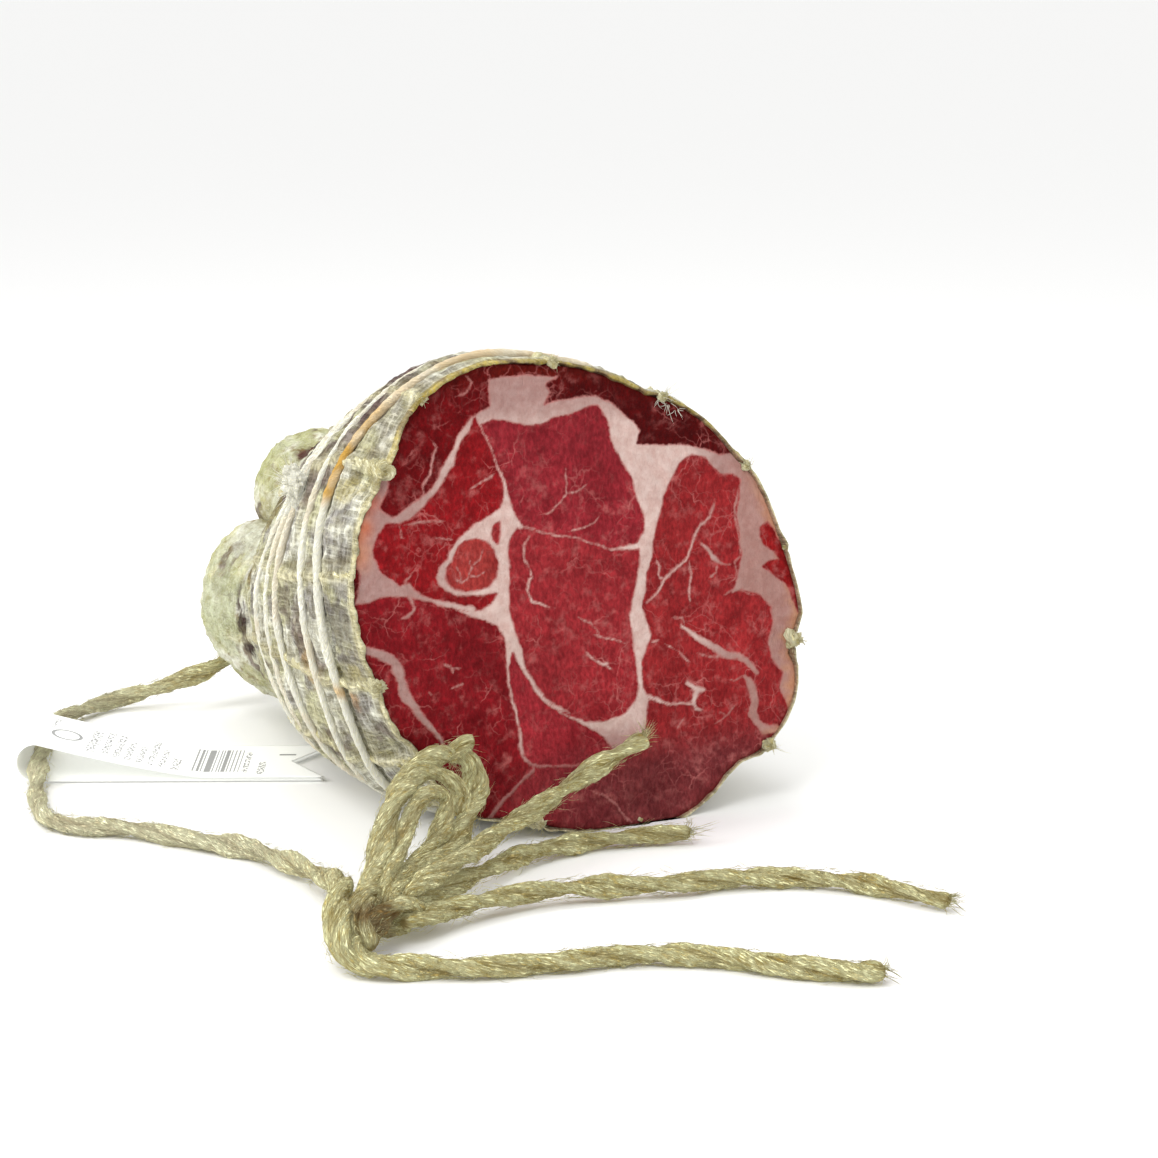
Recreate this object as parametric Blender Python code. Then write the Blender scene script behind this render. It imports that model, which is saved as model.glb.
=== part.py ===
# Half of a dry-cured coppa, tied with twine, with its jute hanging rope and folded paper tag
import math

import bmesh
import bpy
import numpy as np
from mathutils import Vector

# Lengths below are in millimetres and angles in degrees. The cut face looks along -Y, its lowest point
# stands on the line y = 0, and distances behind it run along +Y. ORIGIN then moves the model's own
# origin to the middle of the footprint.
MM = 0.001
ORIGIN = (3.7, 69.3)
GAP = 0.3
WELD = 0.00001

# Cut face: leans back, half sizes, centre over the floor, and its radius at equal steps of angle
FACE_TILT = 5.0
FACE_HALF = (57.0, 54.5)
FACE_CENTRE_X = 3.0
FACE_RADII = (56.2, 52.9, 51.1, 49.9, 53.8, 60.0, 60.3, 58.0,
              55.7, 53.8, 54.5, 53.8, 54.8, 60.1, 61.4, 61.8)
FACE_FADE = (5.0, 80.0)

# Sections from the face to the tied end: distance behind the face, half width, half height, lift
SECTIONS = (
    (0.0, 57.0, 54.5, 0.0),
    (14.0, 57.6, 54.0, -0.4),
    (30.0, 57.0, 52.4, -0.6),
    (46.0, 54.6, 50.0, -0.6),
    (62.0, 51.2, 47.0, -0.5),
    (78.0, 47.6, 43.8, -0.3),
    (92.0, 44.8, 40.0, 0.2),
    (102.0, 44.0, 38.0, 0.6),
    (112.0, 45.4, 38.6, 0.3),
    (122.0, 44.4, 37.6, 0.8),
    (131.0, 36.0, 31.0, 5.0),
    (136.5, 20.0, 18.0, 16.0),
    (136.5, 10.0, 9.0, 24.0),
    (132.0, 3.0, 3.0, 30.0),
)
END_PLACES = (10.0, 10.4, 10.8, 11.25, 11.7, 12.2, 13.0)
END_RINGS = (91.0, 98.0, 105.0, 111.5, 117.5, 122.5, 127.0)
FLANK_END = 84.0
AXIS_DRIFT = math.tan(math.radians(4.0))

# The underside sags wider than an ellipse on both sides of the strip that it rests on
SAG_ANGLES = (226.0, 314.0)
SAG_SPREAD = 26.0
SAG_DEPTH = 5.0
SAG_RANGE = (2.0, 26.0, 60.0, 104.0)

# Lobes that the gathered net squeezes out round the tied end, with creases between them: the depth of
# each crease, and how far each lobe grows at its first and its second crease
CREASE_ANGLES = (40.0, 88.0, 151.0, 260.0, 303.0, 350.0)
CREASE_DEPTHS = (10.0, 9.0, 18.0, 11.0, 10.0, 10.0)
LOBE_GROWTH = ((0.0, 0.0), (4.4, -4.4), (-1.8, 4.8), (0.0, 0.0), (-1.0, -1.0), (1.0, 1.0))
CREASE_RANGE = (67.0, 118.0)
CREASE_SHARPNESS = 0.65

# Lengthwise strings of the net lie as ridges under the casing and end in tufts at the cut edge
STRING_ANGLES = (8.0, 33.8, 62.9, 93.2, 128.5, 146.6, 170.0, 194.0, 216.9, 237.0, 258.0, 285.0, 318.0, 342.3)
STRING_TUFTS = (0.0, 0.4, 0.5, 0.4, 0.2, 0.9, 0.0, 0.8, 0.5, 0.0, 0.3, 0.0, 0.9, 1.0)
STRING_RIDGE = 1.1
STRING_SPREAD = 2.4
RING_STEP = 4.2

# Rim of dried casing round the cut: how far it stands proud, its width, and the tufts on it
RIM_PROUD = 0.7
RIM_WIDTH = 1.3
RIM_FOOT = 0.8
TUFT_OUT = 1.3
TUFT_PROUD = 1.2

# Twine wraps: how far behind the face each one runs, at every 30 degrees from the right side
TWINE_DIAMETER = 1.8
TWINE_WRAPS = (
    (17.0, 14.0, 9.0, 6.8, 10.5, 17.0, 15.0, 16.5, 22.0, 26.0, 24.0, 20.0),
    (29.0, 28.0, 26.0, 24.0, 22.0, 25.5, 24.5, 26.0, 31.0, 33.0, 32.0, 30.0),
    (39.0, 39.0, 38.0, 37.0, 36.0, 37.0, 45.0, 44.5, 41.0, 40.0, 40.0, 39.5),
    (46.5, 46.5, 46.0, 44.5, 42.0, 41.5, 54.0, 55.0, 49.0, 47.0, 47.0, 46.5),
    (56.0, 56.0, 56.0, 54.0, 50.0, 46.5, 66.0, 63.0, 57.0, 54.0, 55.0, 56.0),
)
GROOVE_DEPTH = 2.4
GROOVE_HALF = 2.8
GROOVE_SHARE = 0.45
GROOVE_RIDGE = 0.3
TWINE_SIDES = 6
KNOT_PLACE = (36.0, 151.5)
KNOT_HALF = (3.6, 3.0, 1.9)
KNOT_LIFT = 0.3

# Jute rope and the points of its route: from the tied end, through the folded tag, to the bow knot
ROPE_DIAMETER = 4.5
ROPE_STEP = 2.5 * ROPE_DIAMETER
BIGHT_STEP = 1.4 * ROPE_DIAMETER
ROUTE_SAMPLES = 12
FINE_STEP = 0.5
MAIN_ROUTE = (
    (-7.0, 143.0, 30.0), (-12.5, 145.5, 25.5), (-23.0, 145.5, 18.5), (-33.0, 142.0, 13.5), (-42.0, 138.0, 10.6),
    (-50.5, 139.5, 8.0), (-58.0, 143.5, 5.0), (-68.0, 145.5, 2.8), (-77.0, 141.0, 2.6), (-86.0, 132.0, 3.3),
    (-90.5, 121.0, 3.5), (-95.8, 110.0, 3.5), (-101.2, 95.5, 3.5), (-105.2, 82.0, 2.8), (-108.0, 71.0, 2.4),
    (-109.5, 59.0, 2.4), (-105.5, 50.0, 2.4), (-95.0, 42.5, 2.4), (-86.0, 31.0, 2.4), (-77.6, 20.3, 2.6),
    (-73.3, 12.4, 3.0), (-70.4, 0.9, 3.6), (-68.7, -10.3, 4.6), (-68.9, -22.9, 6.0), (-71.0, -46.0, 7.0),
)
END_A_ROUTE = (
    (-57.2, -41.6, 9.9), (-53.5, -38.8, 10.1), (-50.0, -36.3, 10.2), (-46.0, -33.2, 10.1), (-37.0, -25.8, 10.0),
    (-27.0, -18.5, 10.8), (-16.5, -12.8, 12.4), (-7.0, -9.0, 15.0), (1.9, -7.0, 18.2), (8.8, -6.0, 20.6),
    (14.5, -5.2, 22.4),
)
END_B_ROUTE = (
    (-57.0, -39.4, 3.6), (-53.0, -35.9, 3.6), (-47.8, -31.6, 3.6), (-39.5, -26.4, 3.8), (-29.8, -21.4, 3.8),
    (-19.6, -15.6, 3.2), (-11.0, -13.2, 2.8), (-1.0, -12.9, 2.5), (8.5, -14.4, 2.5), (14.5, -16.6, 2.8),
    (19.0, -18.8, 3.2),
)
END_C_ROUTE = (
    (-68.0, -50.0, 5.5), (-61.0, -48.0, 5.2), (-54.2, -45.3, 4.8), (-44.9, -42.1, 4.2), (-33.6, -40.3, 3.8),
    (-22.1, -40.9, 3.5), (-11.6, -44.0, 3.3), (1.2, -47.2, 3.0), (14.0, -48.7, 2.6), (25.2, -53.2, 2.4),
    (35.6, -61.1, 2.4), (42.3, -70.7, 2.4), (48.2, -81.1, 2.4),
)
END_D_ROUTE = (
    (-72.0, -50.0, 5.0), (-77.5, -56.5, 4.0), (-76.5, -62.5, 3.2), (-69.5, -66.0, 2.6), (-62.3, -69.2, 2.4),
    (-53.1, -73.0, 2.4), (-41.2, -75.9, 2.4), (-29.0, -78.2, 2.4), (-17.8, -83.0, 2.4), (-8.3, -90.7, 2.4),
    (0.3, -99.7, 2.4), (8.2, -105.9, 2.4), (14.4, -109.0, 2.4),
)

# Bow knot: a lump of wound rope with two bights that lean against the low left edge of the cut
BOW_CENTRE = (-70.5, -47.0, 6.9)
BOW_HALF = (10.5, 13.5, 6.6)
BOW_TURN = -26.0
BOW_CLEARANCE = 1.9
OUTER_BIGHT = (
    (-69.5, -44.0, 8.6), (-64.8, -34.0, 9.8), (-60.9, -29.0, 14.3), (-57.0, -23.5, 18.2), (-52.3, -18.0, 21.8),
    (-46.5, -12.5, 24.0), (-40.5, -8.0, 25.2), (-35.0, -4.8, 25.2), (-30.4, -4.0, 23.5), (-28.5, -4.5, 20.2),
    (-29.2, -7.0, 16.8), (-32.8, -12.0, 13.8), (-37.5, -18.0, 11.5), (-44.0, -25.0, 9.8), (-51.8, -31.0, 8.6),
    (-61.0, -37.4, 7.8), (-67.5, -42.5, 6.4),
)
INNER_BIGHT = (
    (-66.5, -46.5, 8.2), (-61.6, -36.0, 10.0), (-56.8, -30.0, 14.0), (-53.1, -25.0, 17.0), (-49.5, -21.0, 19.6),
    (-45.5, -17.0, 20.5), (-41.4, -14.0, 20.0), (-39.3, -14.0, 17.8), (-40.6, -17.0, 15.5), (-43.7, -21.0, 13.3),
    (-48.7, -26.0, 11.5), (-54.3, -31.0, 9.9), (-61.0, -38.0, 8.4), (-71.5, -48.0, 6.8),
)

# Paper tag: a strip folded round the rope, its two leaves lying together towards the notched end
TAG_CORNER = (-39.0, 62.0)
TAG_HEADING = 154.97
TAG_WIDTH = 26.8
TAG_LENGTH = 70.5
TAG_THICKNESS = 0.3
TAG_NOTCH = 9.0
TAG_FLOOR = 0.3
TAG_FOLD_RADIUS = 4.7
TAG_FLAT = 30.0
TAG_LEAF_GAP = 0.5
TAG_STATIONS = 14
TAG_FOLD_STEPS = 8


def place(x, y, z):
    """A point in millimetres from the face's foot, as metres in the part's own frame."""
    return Vector((x - ORIGIN[0], y - ORIGIN[1], z)) * MM


def catmull(p0, p1, p2, p3, t):
    return 0.5 * (2 * p1 + (p2 - p0) * t + (2 * p0 - 5 * p1 + 4 * p2 - p3) * t**2
                  + (3 * p1 - p0 - 3 * p2 + p3) * t**3)


def round_value(values, angle):
    """Smooth closed curve through values at equal steps of angle."""
    count = len(values)
    at = (angle % 360.0) / 360.0 * count
    i = int(at)
    return catmull(*(values[(i + k) % count] for k in (-1, 0, 1, 2)), at - i)


def smoothstep(low, high, value):
    t = min(max((value - low) / (high - low), 0.0), 1.0)
    return t * t * (3.0 - 2.0 * t)


def smooth_route(points, step):
    """Points about a step apart on one smooth curve through the route's own points."""
    nodes = [Vector(p) for p in points]
    fine = []
    for i in range(len(nodes) - 1):
        near = [nodes[min(max(i + k, 0), len(nodes) - 1)] for k in (-1, 0, 1, 2)]
        fine += [catmull(*near, k / ROUTE_SAMPLES) for k in range(ROUTE_SAMPLES)]
    fine.append(nodes[-1])
    run = [0.0]
    for a, b in zip(fine, fine[1:]):
        run.append(run[-1] + (b - a).length)
    count = max(3, round(run[-1] / step))
    at = np.linspace(0.0, run[-1], count + 1)
    return [Vector([np.interp(s, run, [p[k] for p in fine]) for k in range(3)]) for s in at]


# Body

def section(at):
    rows = np.array(SECTIONS)
    i = min(int(at), len(rows) - 2)
    return catmull(*(rows[min(max(i + k, 0), len(rows) - 1)] for k in (-1, 0, 1, 2)), at - i)


def section_at(distance):
    """Place along SECTIONS at a distance behind the face, in front of the rounded end."""
    places = np.linspace(0.0, 10.0, 201)
    return float(np.interp(distance, [section(p)[0] for p in places], places))


def ellipse_radius(half_width, half_height, angle):
    a = math.radians(angle)
    return half_width * half_height / math.hypot(half_height * math.cos(a), half_width * math.sin(a))


def lobe_growth(angle):
    """How far the tied end grows at an angle: out in the middle of a lobe, and in at its two creases."""
    edges = list(CREASE_ANGLES) + [CREASE_ANGLES[0] + 360.0]
    depths = list(CREASE_DEPTHS) + [CREASE_DEPTHS[0]]
    angle = (angle - edges[0]) % 360.0 + edges[0]
    i = int(np.searchsorted(edges, angle, side="right")) - 1
    t = (angle - edges[i]) / (edges[i + 1] - edges[i])
    fullness = math.sin(math.pi * t) ** CREASE_SHARPNESS
    depth = depths[i] + (depths[i + 1] - depths[i]) * t
    growth = LOBE_GROWTH[i][0] + (LOBE_GROWTH[i][1] - LOBE_GROWTH[i][0]) * t
    return growth * fullness - depth * (1.0 - fullness)


def nearest_angle(angle, others):
    return min(abs((angle - other + 180.0) % 360.0 - 180.0) for other in others)


def string_ridge(angle):
    return math.exp(-(nearest_angle(angle, STRING_ANGLES) / STRING_SPREAD) ** 2)


def tuft_size(angle):
    return max(size * math.exp(-(nearest_angle(angle, [at]) / STRING_SPREAD) ** 2)
               for at, size in zip(STRING_ANGLES, STRING_TUFTS))


def body_surface(at, angle, ridge=1.0):
    """Point of the casing, and the direction from it to the section's middle, in millimetres."""
    distance, half_width, half_height, lift = section(at)
    tied = 1.0 if at > 9.0 else smoothstep(*CREASE_RANGE, distance)
    face_ratio = round_value(FACE_RADII, angle) / ellipse_radius(*FACE_HALF, angle)
    face_share = 1.0 - smoothstep(*FACE_FADE, distance)
    radius = ellipse_radius(half_width, half_height, angle) * (1.0 + (face_ratio - 1.0) * face_share)
    sag = smoothstep(*SAG_RANGE[:2], distance) * (1.0 - smoothstep(*SAG_RANGE[2:], distance))
    radius += SAG_DEPTH * sag * math.exp(-(nearest_angle(angle, SAG_ANGLES) / SAG_SPREAD) ** 2)
    radius += tied * half_width / FACE_HALF[0] * lobe_growth(angle)
    radius += STRING_RIDGE * string_ridge(angle) * (1.0 - tied) * ridge
    a = math.radians(angle)
    tilt = math.radians(FACE_TILT)
    inward = Vector((-math.cos(a), -math.sin(a) * math.sin(tilt), -math.sin(a) * math.cos(tilt)))
    middle = Vector((FACE_CENTRE_X - AXIS_DRIFT * distance, distance + half_height * math.sin(tilt),
                     lift + half_height))
    point = middle - inward * radius
    point.z = max(point.z, 0.0)
    return point, inward


def twine_centre(wrap, angle):
    """Middle of the twine: level with the casing, but clear of the floor under the half."""
    point, inward = body_surface(section_at(round_value(wrap, angle)), angle, ridge=0.0)
    point.z = max(point.z, GAP + TWINE_DIAMETER / 2)
    return point, inward


def ring_angles():
    edges = list(STRING_ANGLES) + [STRING_ANGLES[0] + 360.0]
    angles = []
    for low, high in zip(edges, edges[1:]):
        steps = max(2, round((high - low) / RING_STEP))
        angles += [low + (high - low) * k / steps for k in range(steps)]
    return angles


def body_column(angle):
    """Points of the casing from the face to the end at one angle: they follow the twine's grooves."""
    wraps = [round_value(wrap, angle) for wrap in TWINE_WRAPS]
    first = wraps[0] - GROOVE_HALF
    column = [body_surface(section_at(first * k / 3.0), angle)[0] for k in (1, 2)]
    for i, (wrap, distance) in enumerate(zip(TWINE_WRAPS, wraps)):
        before = GROOVE_HALF
        if i > 0:
            before = min(GROOVE_HALF, GROOVE_SHARE * (distance - wraps[i - 1]))
        after = GROOVE_HALF
        if i < len(wraps) - 1:
            after = min(GROOVE_HALF, GROOVE_SHARE * (wraps[i + 1] - distance))
        column.append(body_surface(section_at(distance - before), angle, GROOVE_RIDGE)[0])
        point, inward = twine_centre(wrap, angle)
        column.append(point + inward * GROOVE_DEPTH)
        column.append(body_surface(section_at(distance + after), angle, GROOVE_RIDGE)[0])
        if i < 2:
            column.append(body_surface(section_at((distance + wraps[i + 1]) / 2), angle)[0])
    last = wraps[-1] + GROOVE_HALF
    column += [body_surface(section_at(last + (FLANK_END - last) * k / 3.0), angle)[0] for k in (1, 2, 3)]
    column += [body_surface(section_at(distance), angle)[0] for distance in END_RINGS]
    column += [body_surface(at, angle)[0] for at in END_PLACES]
    return column


def rim_column(angle):
    """Points from the flat of the face outward over the rim of casing to its outer edge."""
    edge, inward = body_surface(0.0, angle)
    forward = Vector((0.0, -math.cos(math.radians(FACE_TILT)), math.sin(math.radians(FACE_TILT))))
    tuft = tuft_size(angle)
    outer = edge - inward * TUFT_OUT * tuft + forward * (RIM_PROUD + TUFT_PROUD * tuft)
    outer.z = max(outer.z, 0.0)
    inner = edge + inward * RIM_WIDTH + forward * RIM_PROUD
    foot = edge + inward * (RIM_WIDTH + RIM_FOOT)
    return [foot, inner, outer]


def loft(name, columns, material):
    """Closed skin from a list of columns round the axis: rings are extruded and both ends are capped."""
    bm = bmesh.new()
    ring = bmesh.ops.create_circle(bm, cap_ends=False, segments=len(columns), radius=1.0)["verts"]
    for vert, column in zip(ring, columns):
        vert.co = place(*column[0])
    edges = list(bm.edges)
    bmesh.ops.contextual_create(bm, geom=edges)
    for row in range(1, len(columns[0])):
        grown = bmesh.ops.extrude_edge_only(bm, edges=edges)["geom"]
        edges = [g for g in grown if isinstance(g, bmesh.types.BMEdge)]
        verts = [g for g in grown if isinstance(g, bmesh.types.BMVert)]
        for vert, column in zip(verts, columns):
            vert.co = place(*column[row])
    bmesh.ops.contextual_create(bm, geom=edges)
    bmesh.ops.recalc_face_normals(bm, faces=bm.faces)
    return mesh_object(name, bm, material)


def make_body():
    casing = finish("casing", (0.50, 0.49, 0.38), 0.85)
    meat = finish("cut_meat", (0.34, 0.03, 0.05), 0.45)
    body = loft("coppa_body", [rim_column(a) + body_column(a) for a in ring_angles()], casing)
    body.data.materials.append(meat)
    cut = max(body.data.polygons, key=lambda polygon: polygon.area)
    cut.material_index = 1


# Twine

def make_twine():
    white = finish("twine_white", (0.86, 0.85, 0.74), 0.9)
    angles = ring_angles()[::2]
    for number, wrap in enumerate(TWINE_WRAPS, 1):
        points = [twine_centre(wrap, angle)[0] for angle in angles]
        tube(f"twine_{number}", points, TWINE_DIAMETER, TWINE_SIDES // 2 - 2, white, closed=True)
    distance, angle = KNOT_PLACE
    point, inward = body_surface(section_at(distance), angle, ridge=0.0)
    out = -inward
    centre = point + out * (GAP + KNOT_LIFT + KNOT_HALF[2])
    lump("twine_knot", centre, KNOT_HALF, out.to_track_quat("Z", "Y"), white, rings=7, segments=10)


# Rope

def lump(name, centre, half, turn, material, rings, segments):
    """Rounded lump with half sizes along its own axes."""
    bm = bmesh.new()
    bmesh.ops.create_uvsphere(bm, u_segments=segments, v_segments=rings, radius=1.0)
    for vert in bm.verts:
        local = Vector([c * h for c, h in zip(vert.co, half)])
        vert.co = place(*(Vector(centre) + turn @ local))
    return mesh_object(name, bm, material)


def outside_bow(points):
    """The part of a route that is clear of the bow's lump, cut where it comes out."""
    turn = bow_turn().inverted()
    half = [h + BOW_CLEARANCE for h in BOW_HALF]

    def depth(p):
        local = turn @ (p - Vector(BOW_CENTRE))
        return math.sqrt(sum((c / h) ** 2 for c, h in zip(local, half)))

    return [p for p in points if depth(p) > 1.0]


def bow_turn():
    return Vector((math.cos(math.radians(BOW_TURN)), math.sin(math.radians(BOW_TURN)), 0.0)).to_track_quat("X", "Z")


def make_rope():
    jute = finish("jute", (0.53, 0.46, 0.26), 0.95)
    routes = {"rope_main": MAIN_ROUTE, "rope_end_a": END_A_ROUTE, "rope_end_b": END_B_ROUTE,
              "rope_end_c": END_C_ROUTE, "rope_end_d": END_D_ROUTE}
    for name, route in routes.items():
        fine = outside_bow(smooth_route(route, FINE_STEP))
        tube(name, smooth_route(fine, ROPE_STEP), ROPE_DIAMETER, 2, jute)
    bow = lump("rope_bow", BOW_CENTRE, BOW_HALF, bow_turn(), jute, rings=9, segments=16)
    for name, route in {"bight_outer": OUTER_BIGHT, "bight_inner": INNER_BIGHT}.items():
        bight = as_mesh(tube(name, smooth_route(route, BIGHT_STEP), ROPE_DIAMETER, 2, jute))
        bight.hide_render = True
        bight.display_type = "WIRE"
        union = bow.modifiers.new(name, "BOOLEAN")
        union.operation = "UNION"
        union.solver = "MANIFOLD"
        union.object = bight


# Tag

def tag_height(length):
    """Height of the upper leaf's underside over the lower leaf, at a distance from the notched end."""
    rise = 2 * TAG_FOLD_RADIUS - TAG_THICKNESS
    t = max(length - TAG_FLAT, 0.0) / (TAG_LENGTH - TAG_FLAT)
    return TAG_LEAF_GAP + (rise - TAG_LEAF_GAP) * t ** 1.25


def make_tag():
    """The strip's middle line goes along the floor, round the fold and back over itself."""
    paper = finish("tag_paper", (0.86, 0.86, 0.85), 0.55)
    half = TAG_THICKNESS / 2
    base = TAG_FLOOR + half
    line = [(TAG_LENGTH * k / TAG_STATIONS, base) for k in range(TAG_STATIONS + 1)]
    for k in range(1, TAG_FOLD_STEPS):
        turn = math.pi * k / TAG_FOLD_STEPS
        line.append((TAG_LENGTH + TAG_FOLD_RADIUS * math.sin(turn),
                     base + TAG_FOLD_RADIUS * (1.0 - math.cos(turn))))
    for k in range(TAG_STATIONS, -1, -1):
        length = TAG_LENGTH * k / TAG_STATIONS
        line.append((length, base + TAG_THICKNESS + tag_height(length)))
    heading = math.radians(TAG_HEADING)
    along = Vector((math.cos(heading), math.sin(heading), 0.0))
    across = Vector((math.sin(heading), -math.cos(heading), 0.0))
    bm = bmesh.new()
    rows = []
    for i, (length, height) in enumerate(line):
        before = line[max(i - 1, 0)]
        after = line[min(i + 1, len(line) - 1)]
        slope = Vector((after[0] - before[0], after[1] - before[1])).normalized()
        normal = Vector((-slope.y, slope.x)) * half
        row = []
        for side in (1, -1):
            for width in (0.0, 0.5, 1.0):
                notch = TAG_NOTCH if width == 0.5 and i in (0, len(line) - 1) else 0.0
                at = along * (length + side * normal.x + notch) + across * TAG_WIDTH * width
                row.append(bm.verts.new(place(TAG_CORNER[0] + at.x, TAG_CORNER[1] + at.y,
                                              height + side * normal.y)))
        rows.append(row)
    outline = (0, 1, 2, 5, 4, 3)
    for a, b in zip(rows, rows[1:]):
        for k in range(6):
            i, j = outline[k], outline[(k + 1) % 6]
            bm.faces.new((a[i], a[j], b[j], b[i]))
    for row in (rows[0], rows[-1]):
        bm.faces.new((row[0], row[1], row[4], row[3]))
        bm.faces.new((row[1], row[2], row[5], row[4]))
    bmesh.ops.recalc_face_normals(bm, faces=bm.faces)
    mesh_object("tag", bm, paper)


# Objects

def finish(name, color, roughness):
    material = bpy.data.materials.new(name)
    material.use_nodes = True
    shader = material.node_tree.nodes["Principled BSDF"]
    shader.inputs["Base Color"].default_value = (*color, 1.0)
    shader.inputs["Roughness"].default_value = roughness
    shader.inputs["Metallic"].default_value = 0.0
    return material


def mesh_object(name, bm, material):
    mesh = bpy.data.meshes.new(name)
    bm.to_mesh(mesh)
    bm.free()
    mesh.materials.append(material)
    mesh.shade_smooth()
    mesh.set_sharp_from_angle(angle=math.radians(40.0))
    made = bpy.data.objects.new(name, mesh)
    bpy.context.collection.objects.link(made)
    return made


def tube(name, points, diameter, resolution, material, closed=False):
    curve = bpy.data.curves.new(name, "CURVE")
    curve.dimensions = "3D"
    curve.bevel_depth = diameter / 2 * MM
    curve.bevel_resolution = resolution
    curve.use_fill_caps = not closed
    spline = curve.splines.new("POLY")
    spline.points.add(len(points) - 1)
    for target, point in zip(spline.points, points):
        target.co = (*place(*point), 1.0)
    spline.use_cyclic_u = closed
    curve.materials.append(material)
    made = bpy.data.objects.new(name, curve)
    bpy.context.collection.objects.link(made)
    return made


def as_mesh(curve_object):
    """The same tube as a closed mesh, its caps welded on, so that a Boolean can read it."""
    bpy.context.view_layer.update()
    graph = bpy.context.evaluated_depsgraph_get()
    mesh = bpy.data.meshes.new_from_object(curve_object.evaluated_get(graph))
    bm = bmesh.new()
    bm.from_mesh(mesh)
    bmesh.ops.remove_doubles(bm, verts=bm.verts, dist=WELD)
    bm.to_mesh(mesh)
    bm.free()
    made = bpy.data.objects.new(curve_object.name + "_guide", mesh)
    bpy.context.collection.objects.link(made)
    bpy.data.objects.remove(curve_object, do_unlink=True)
    return made


def main():
    for old in list(bpy.data.objects):
        bpy.data.objects.remove(old, do_unlink=True)
    make_body()
    make_twine()
    make_rope()
    make_tag()


main()
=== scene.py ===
# Half of a dry-cured coppa with its twine, jute hanging rope and paper tag: the looks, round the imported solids.
# Lengths are in mm from the foot of the cut face, angles in degrees, unless a note says otherwise.
import math
import random

import bmesh
import bpy
import numpy as np
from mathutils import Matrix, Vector, noise


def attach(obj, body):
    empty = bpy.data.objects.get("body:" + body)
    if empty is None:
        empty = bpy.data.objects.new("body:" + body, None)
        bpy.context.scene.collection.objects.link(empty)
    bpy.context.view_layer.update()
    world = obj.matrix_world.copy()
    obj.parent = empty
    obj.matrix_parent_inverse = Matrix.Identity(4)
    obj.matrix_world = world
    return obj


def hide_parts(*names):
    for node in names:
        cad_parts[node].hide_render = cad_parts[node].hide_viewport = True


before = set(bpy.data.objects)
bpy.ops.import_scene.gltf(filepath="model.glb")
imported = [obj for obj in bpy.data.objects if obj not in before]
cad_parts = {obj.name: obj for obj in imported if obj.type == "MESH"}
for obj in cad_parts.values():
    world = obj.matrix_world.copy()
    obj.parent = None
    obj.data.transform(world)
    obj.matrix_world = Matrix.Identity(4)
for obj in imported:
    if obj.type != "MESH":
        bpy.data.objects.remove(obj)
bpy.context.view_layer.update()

mm = 0.001
origin = (3.7, 69.3, 0.0)  # the model's own origin, seen from the foot of the cut face
faceTilt = math.radians(5.0)
faceUp = np.array([0.0, math.sin(faceTilt), math.cos(faceTilt)])
faceOut = np.array([0.0, -math.cos(faceTilt), math.sin(faceTilt)])
weld = 2e-6  # metres
floorGap = 0.05  # nothing sinks into the table
hairGap = 0.15  # fibres bend along the table before they reach it


# Camera, floor and light

cameraView = {
    "azimuth": -26.0,
    "elevation": 13.5,
    "distance": 616.0,
    "lookAt": (0.0, 0.0, 60.5),
    "fieldOfView": 24.0,
}

light = {
    "world": 1.0,
    "floor": (246, 246, 245),
    "lamps": {  # where, size, watts
        "key": ((-380.0, -300.0, 620.0), 300.0, 1.7),
        "fill": ((520.0, -460.0, 300.0), 500.0, 0.3),
        "top": ((60.0, 260.0, 700.0), 400.0, 1.3),
        "side": ((-560.0, 150.0, 330.0), 320.0, 1.7),
    },
}


def place(points):
    return (np.asarray(points, float) - origin) * mm


def addCamera():
    azimuth = math.radians(cameraView["azimuth"])
    elevation = math.radians(cameraView["elevation"])
    back = Vector((math.sin(azimuth) * math.cos(elevation),
                   -math.cos(azimuth) * math.cos(elevation), math.sin(elevation)))
    data = bpy.data.cameras.new("camera")
    data.sensor_width = 36.0
    data.angle = math.radians(cameraView["fieldOfView"])
    data.clip_start = 0.01
    data.clip_end = 100.0
    camera = bpy.data.objects.new("camera", data)
    camera.location = Vector(place(cameraView["lookAt"])) + back * cameraView["distance"] * mm
    camera.rotation_euler = back.to_track_quat("Z", "Y").to_euler()
    bpy.context.scene.collection.objects.link(camera)
    bpy.context.scene.camera = camera


def addLight():
    world = bpy.data.worlds.new("studio")
    world.use_nodes = True
    world.node_tree.nodes["Background"].inputs["Color"].default_value = (1.0, 1.0, 1.0, 1.0)
    world.node_tree.nodes["Background"].inputs["Strength"].default_value = light["world"]
    bpy.context.scene.world = world
    for name, (where, size, power) in light["lamps"].items():
        data = bpy.data.lights.new(name, "AREA")
        data.shape = "DISK"
        data.size = size * mm
        data.energy = power
        lamp = bpy.data.objects.new(name, data)
        lamp.location = Vector(place(where))
        lamp.rotation_euler = (Vector(place((0.0, 40.0, 40.0))) - lamp.location).to_track_quat("-Z", "Y").to_euler()
        bpy.context.scene.collection.objects.link(lamp)
    bpy.context.scene.view_settings.view_transform = "Standard"


addCamera()
addLight()
print("scene: camera and light")


# Small tools for shapes

def linear(red, green, blue):
    values = np.array([red, green, blue]) / 255.0
    return np.where(values <= 0.04045, values / 12.92, ((values + 0.055) / 1.055) ** 2.4)


def smoothStep(low, high, value):
    t = np.clip((value - low) / (high - low), 0.0, 1.0)
    return t * t * (3.0 - 2.0 * t)


def mix(a, b, share):
    share = np.asarray(share)[:, None]
    return a * (1.0 - share) + b * share


def catmull(a, b, c, d, t):
    return 0.5 * (2 * b + (c - a) * t + (2 * a - 5 * b + 4 * c - d) * t**2 + (3 * b - a - 3 * c + d) * t**3)


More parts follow.
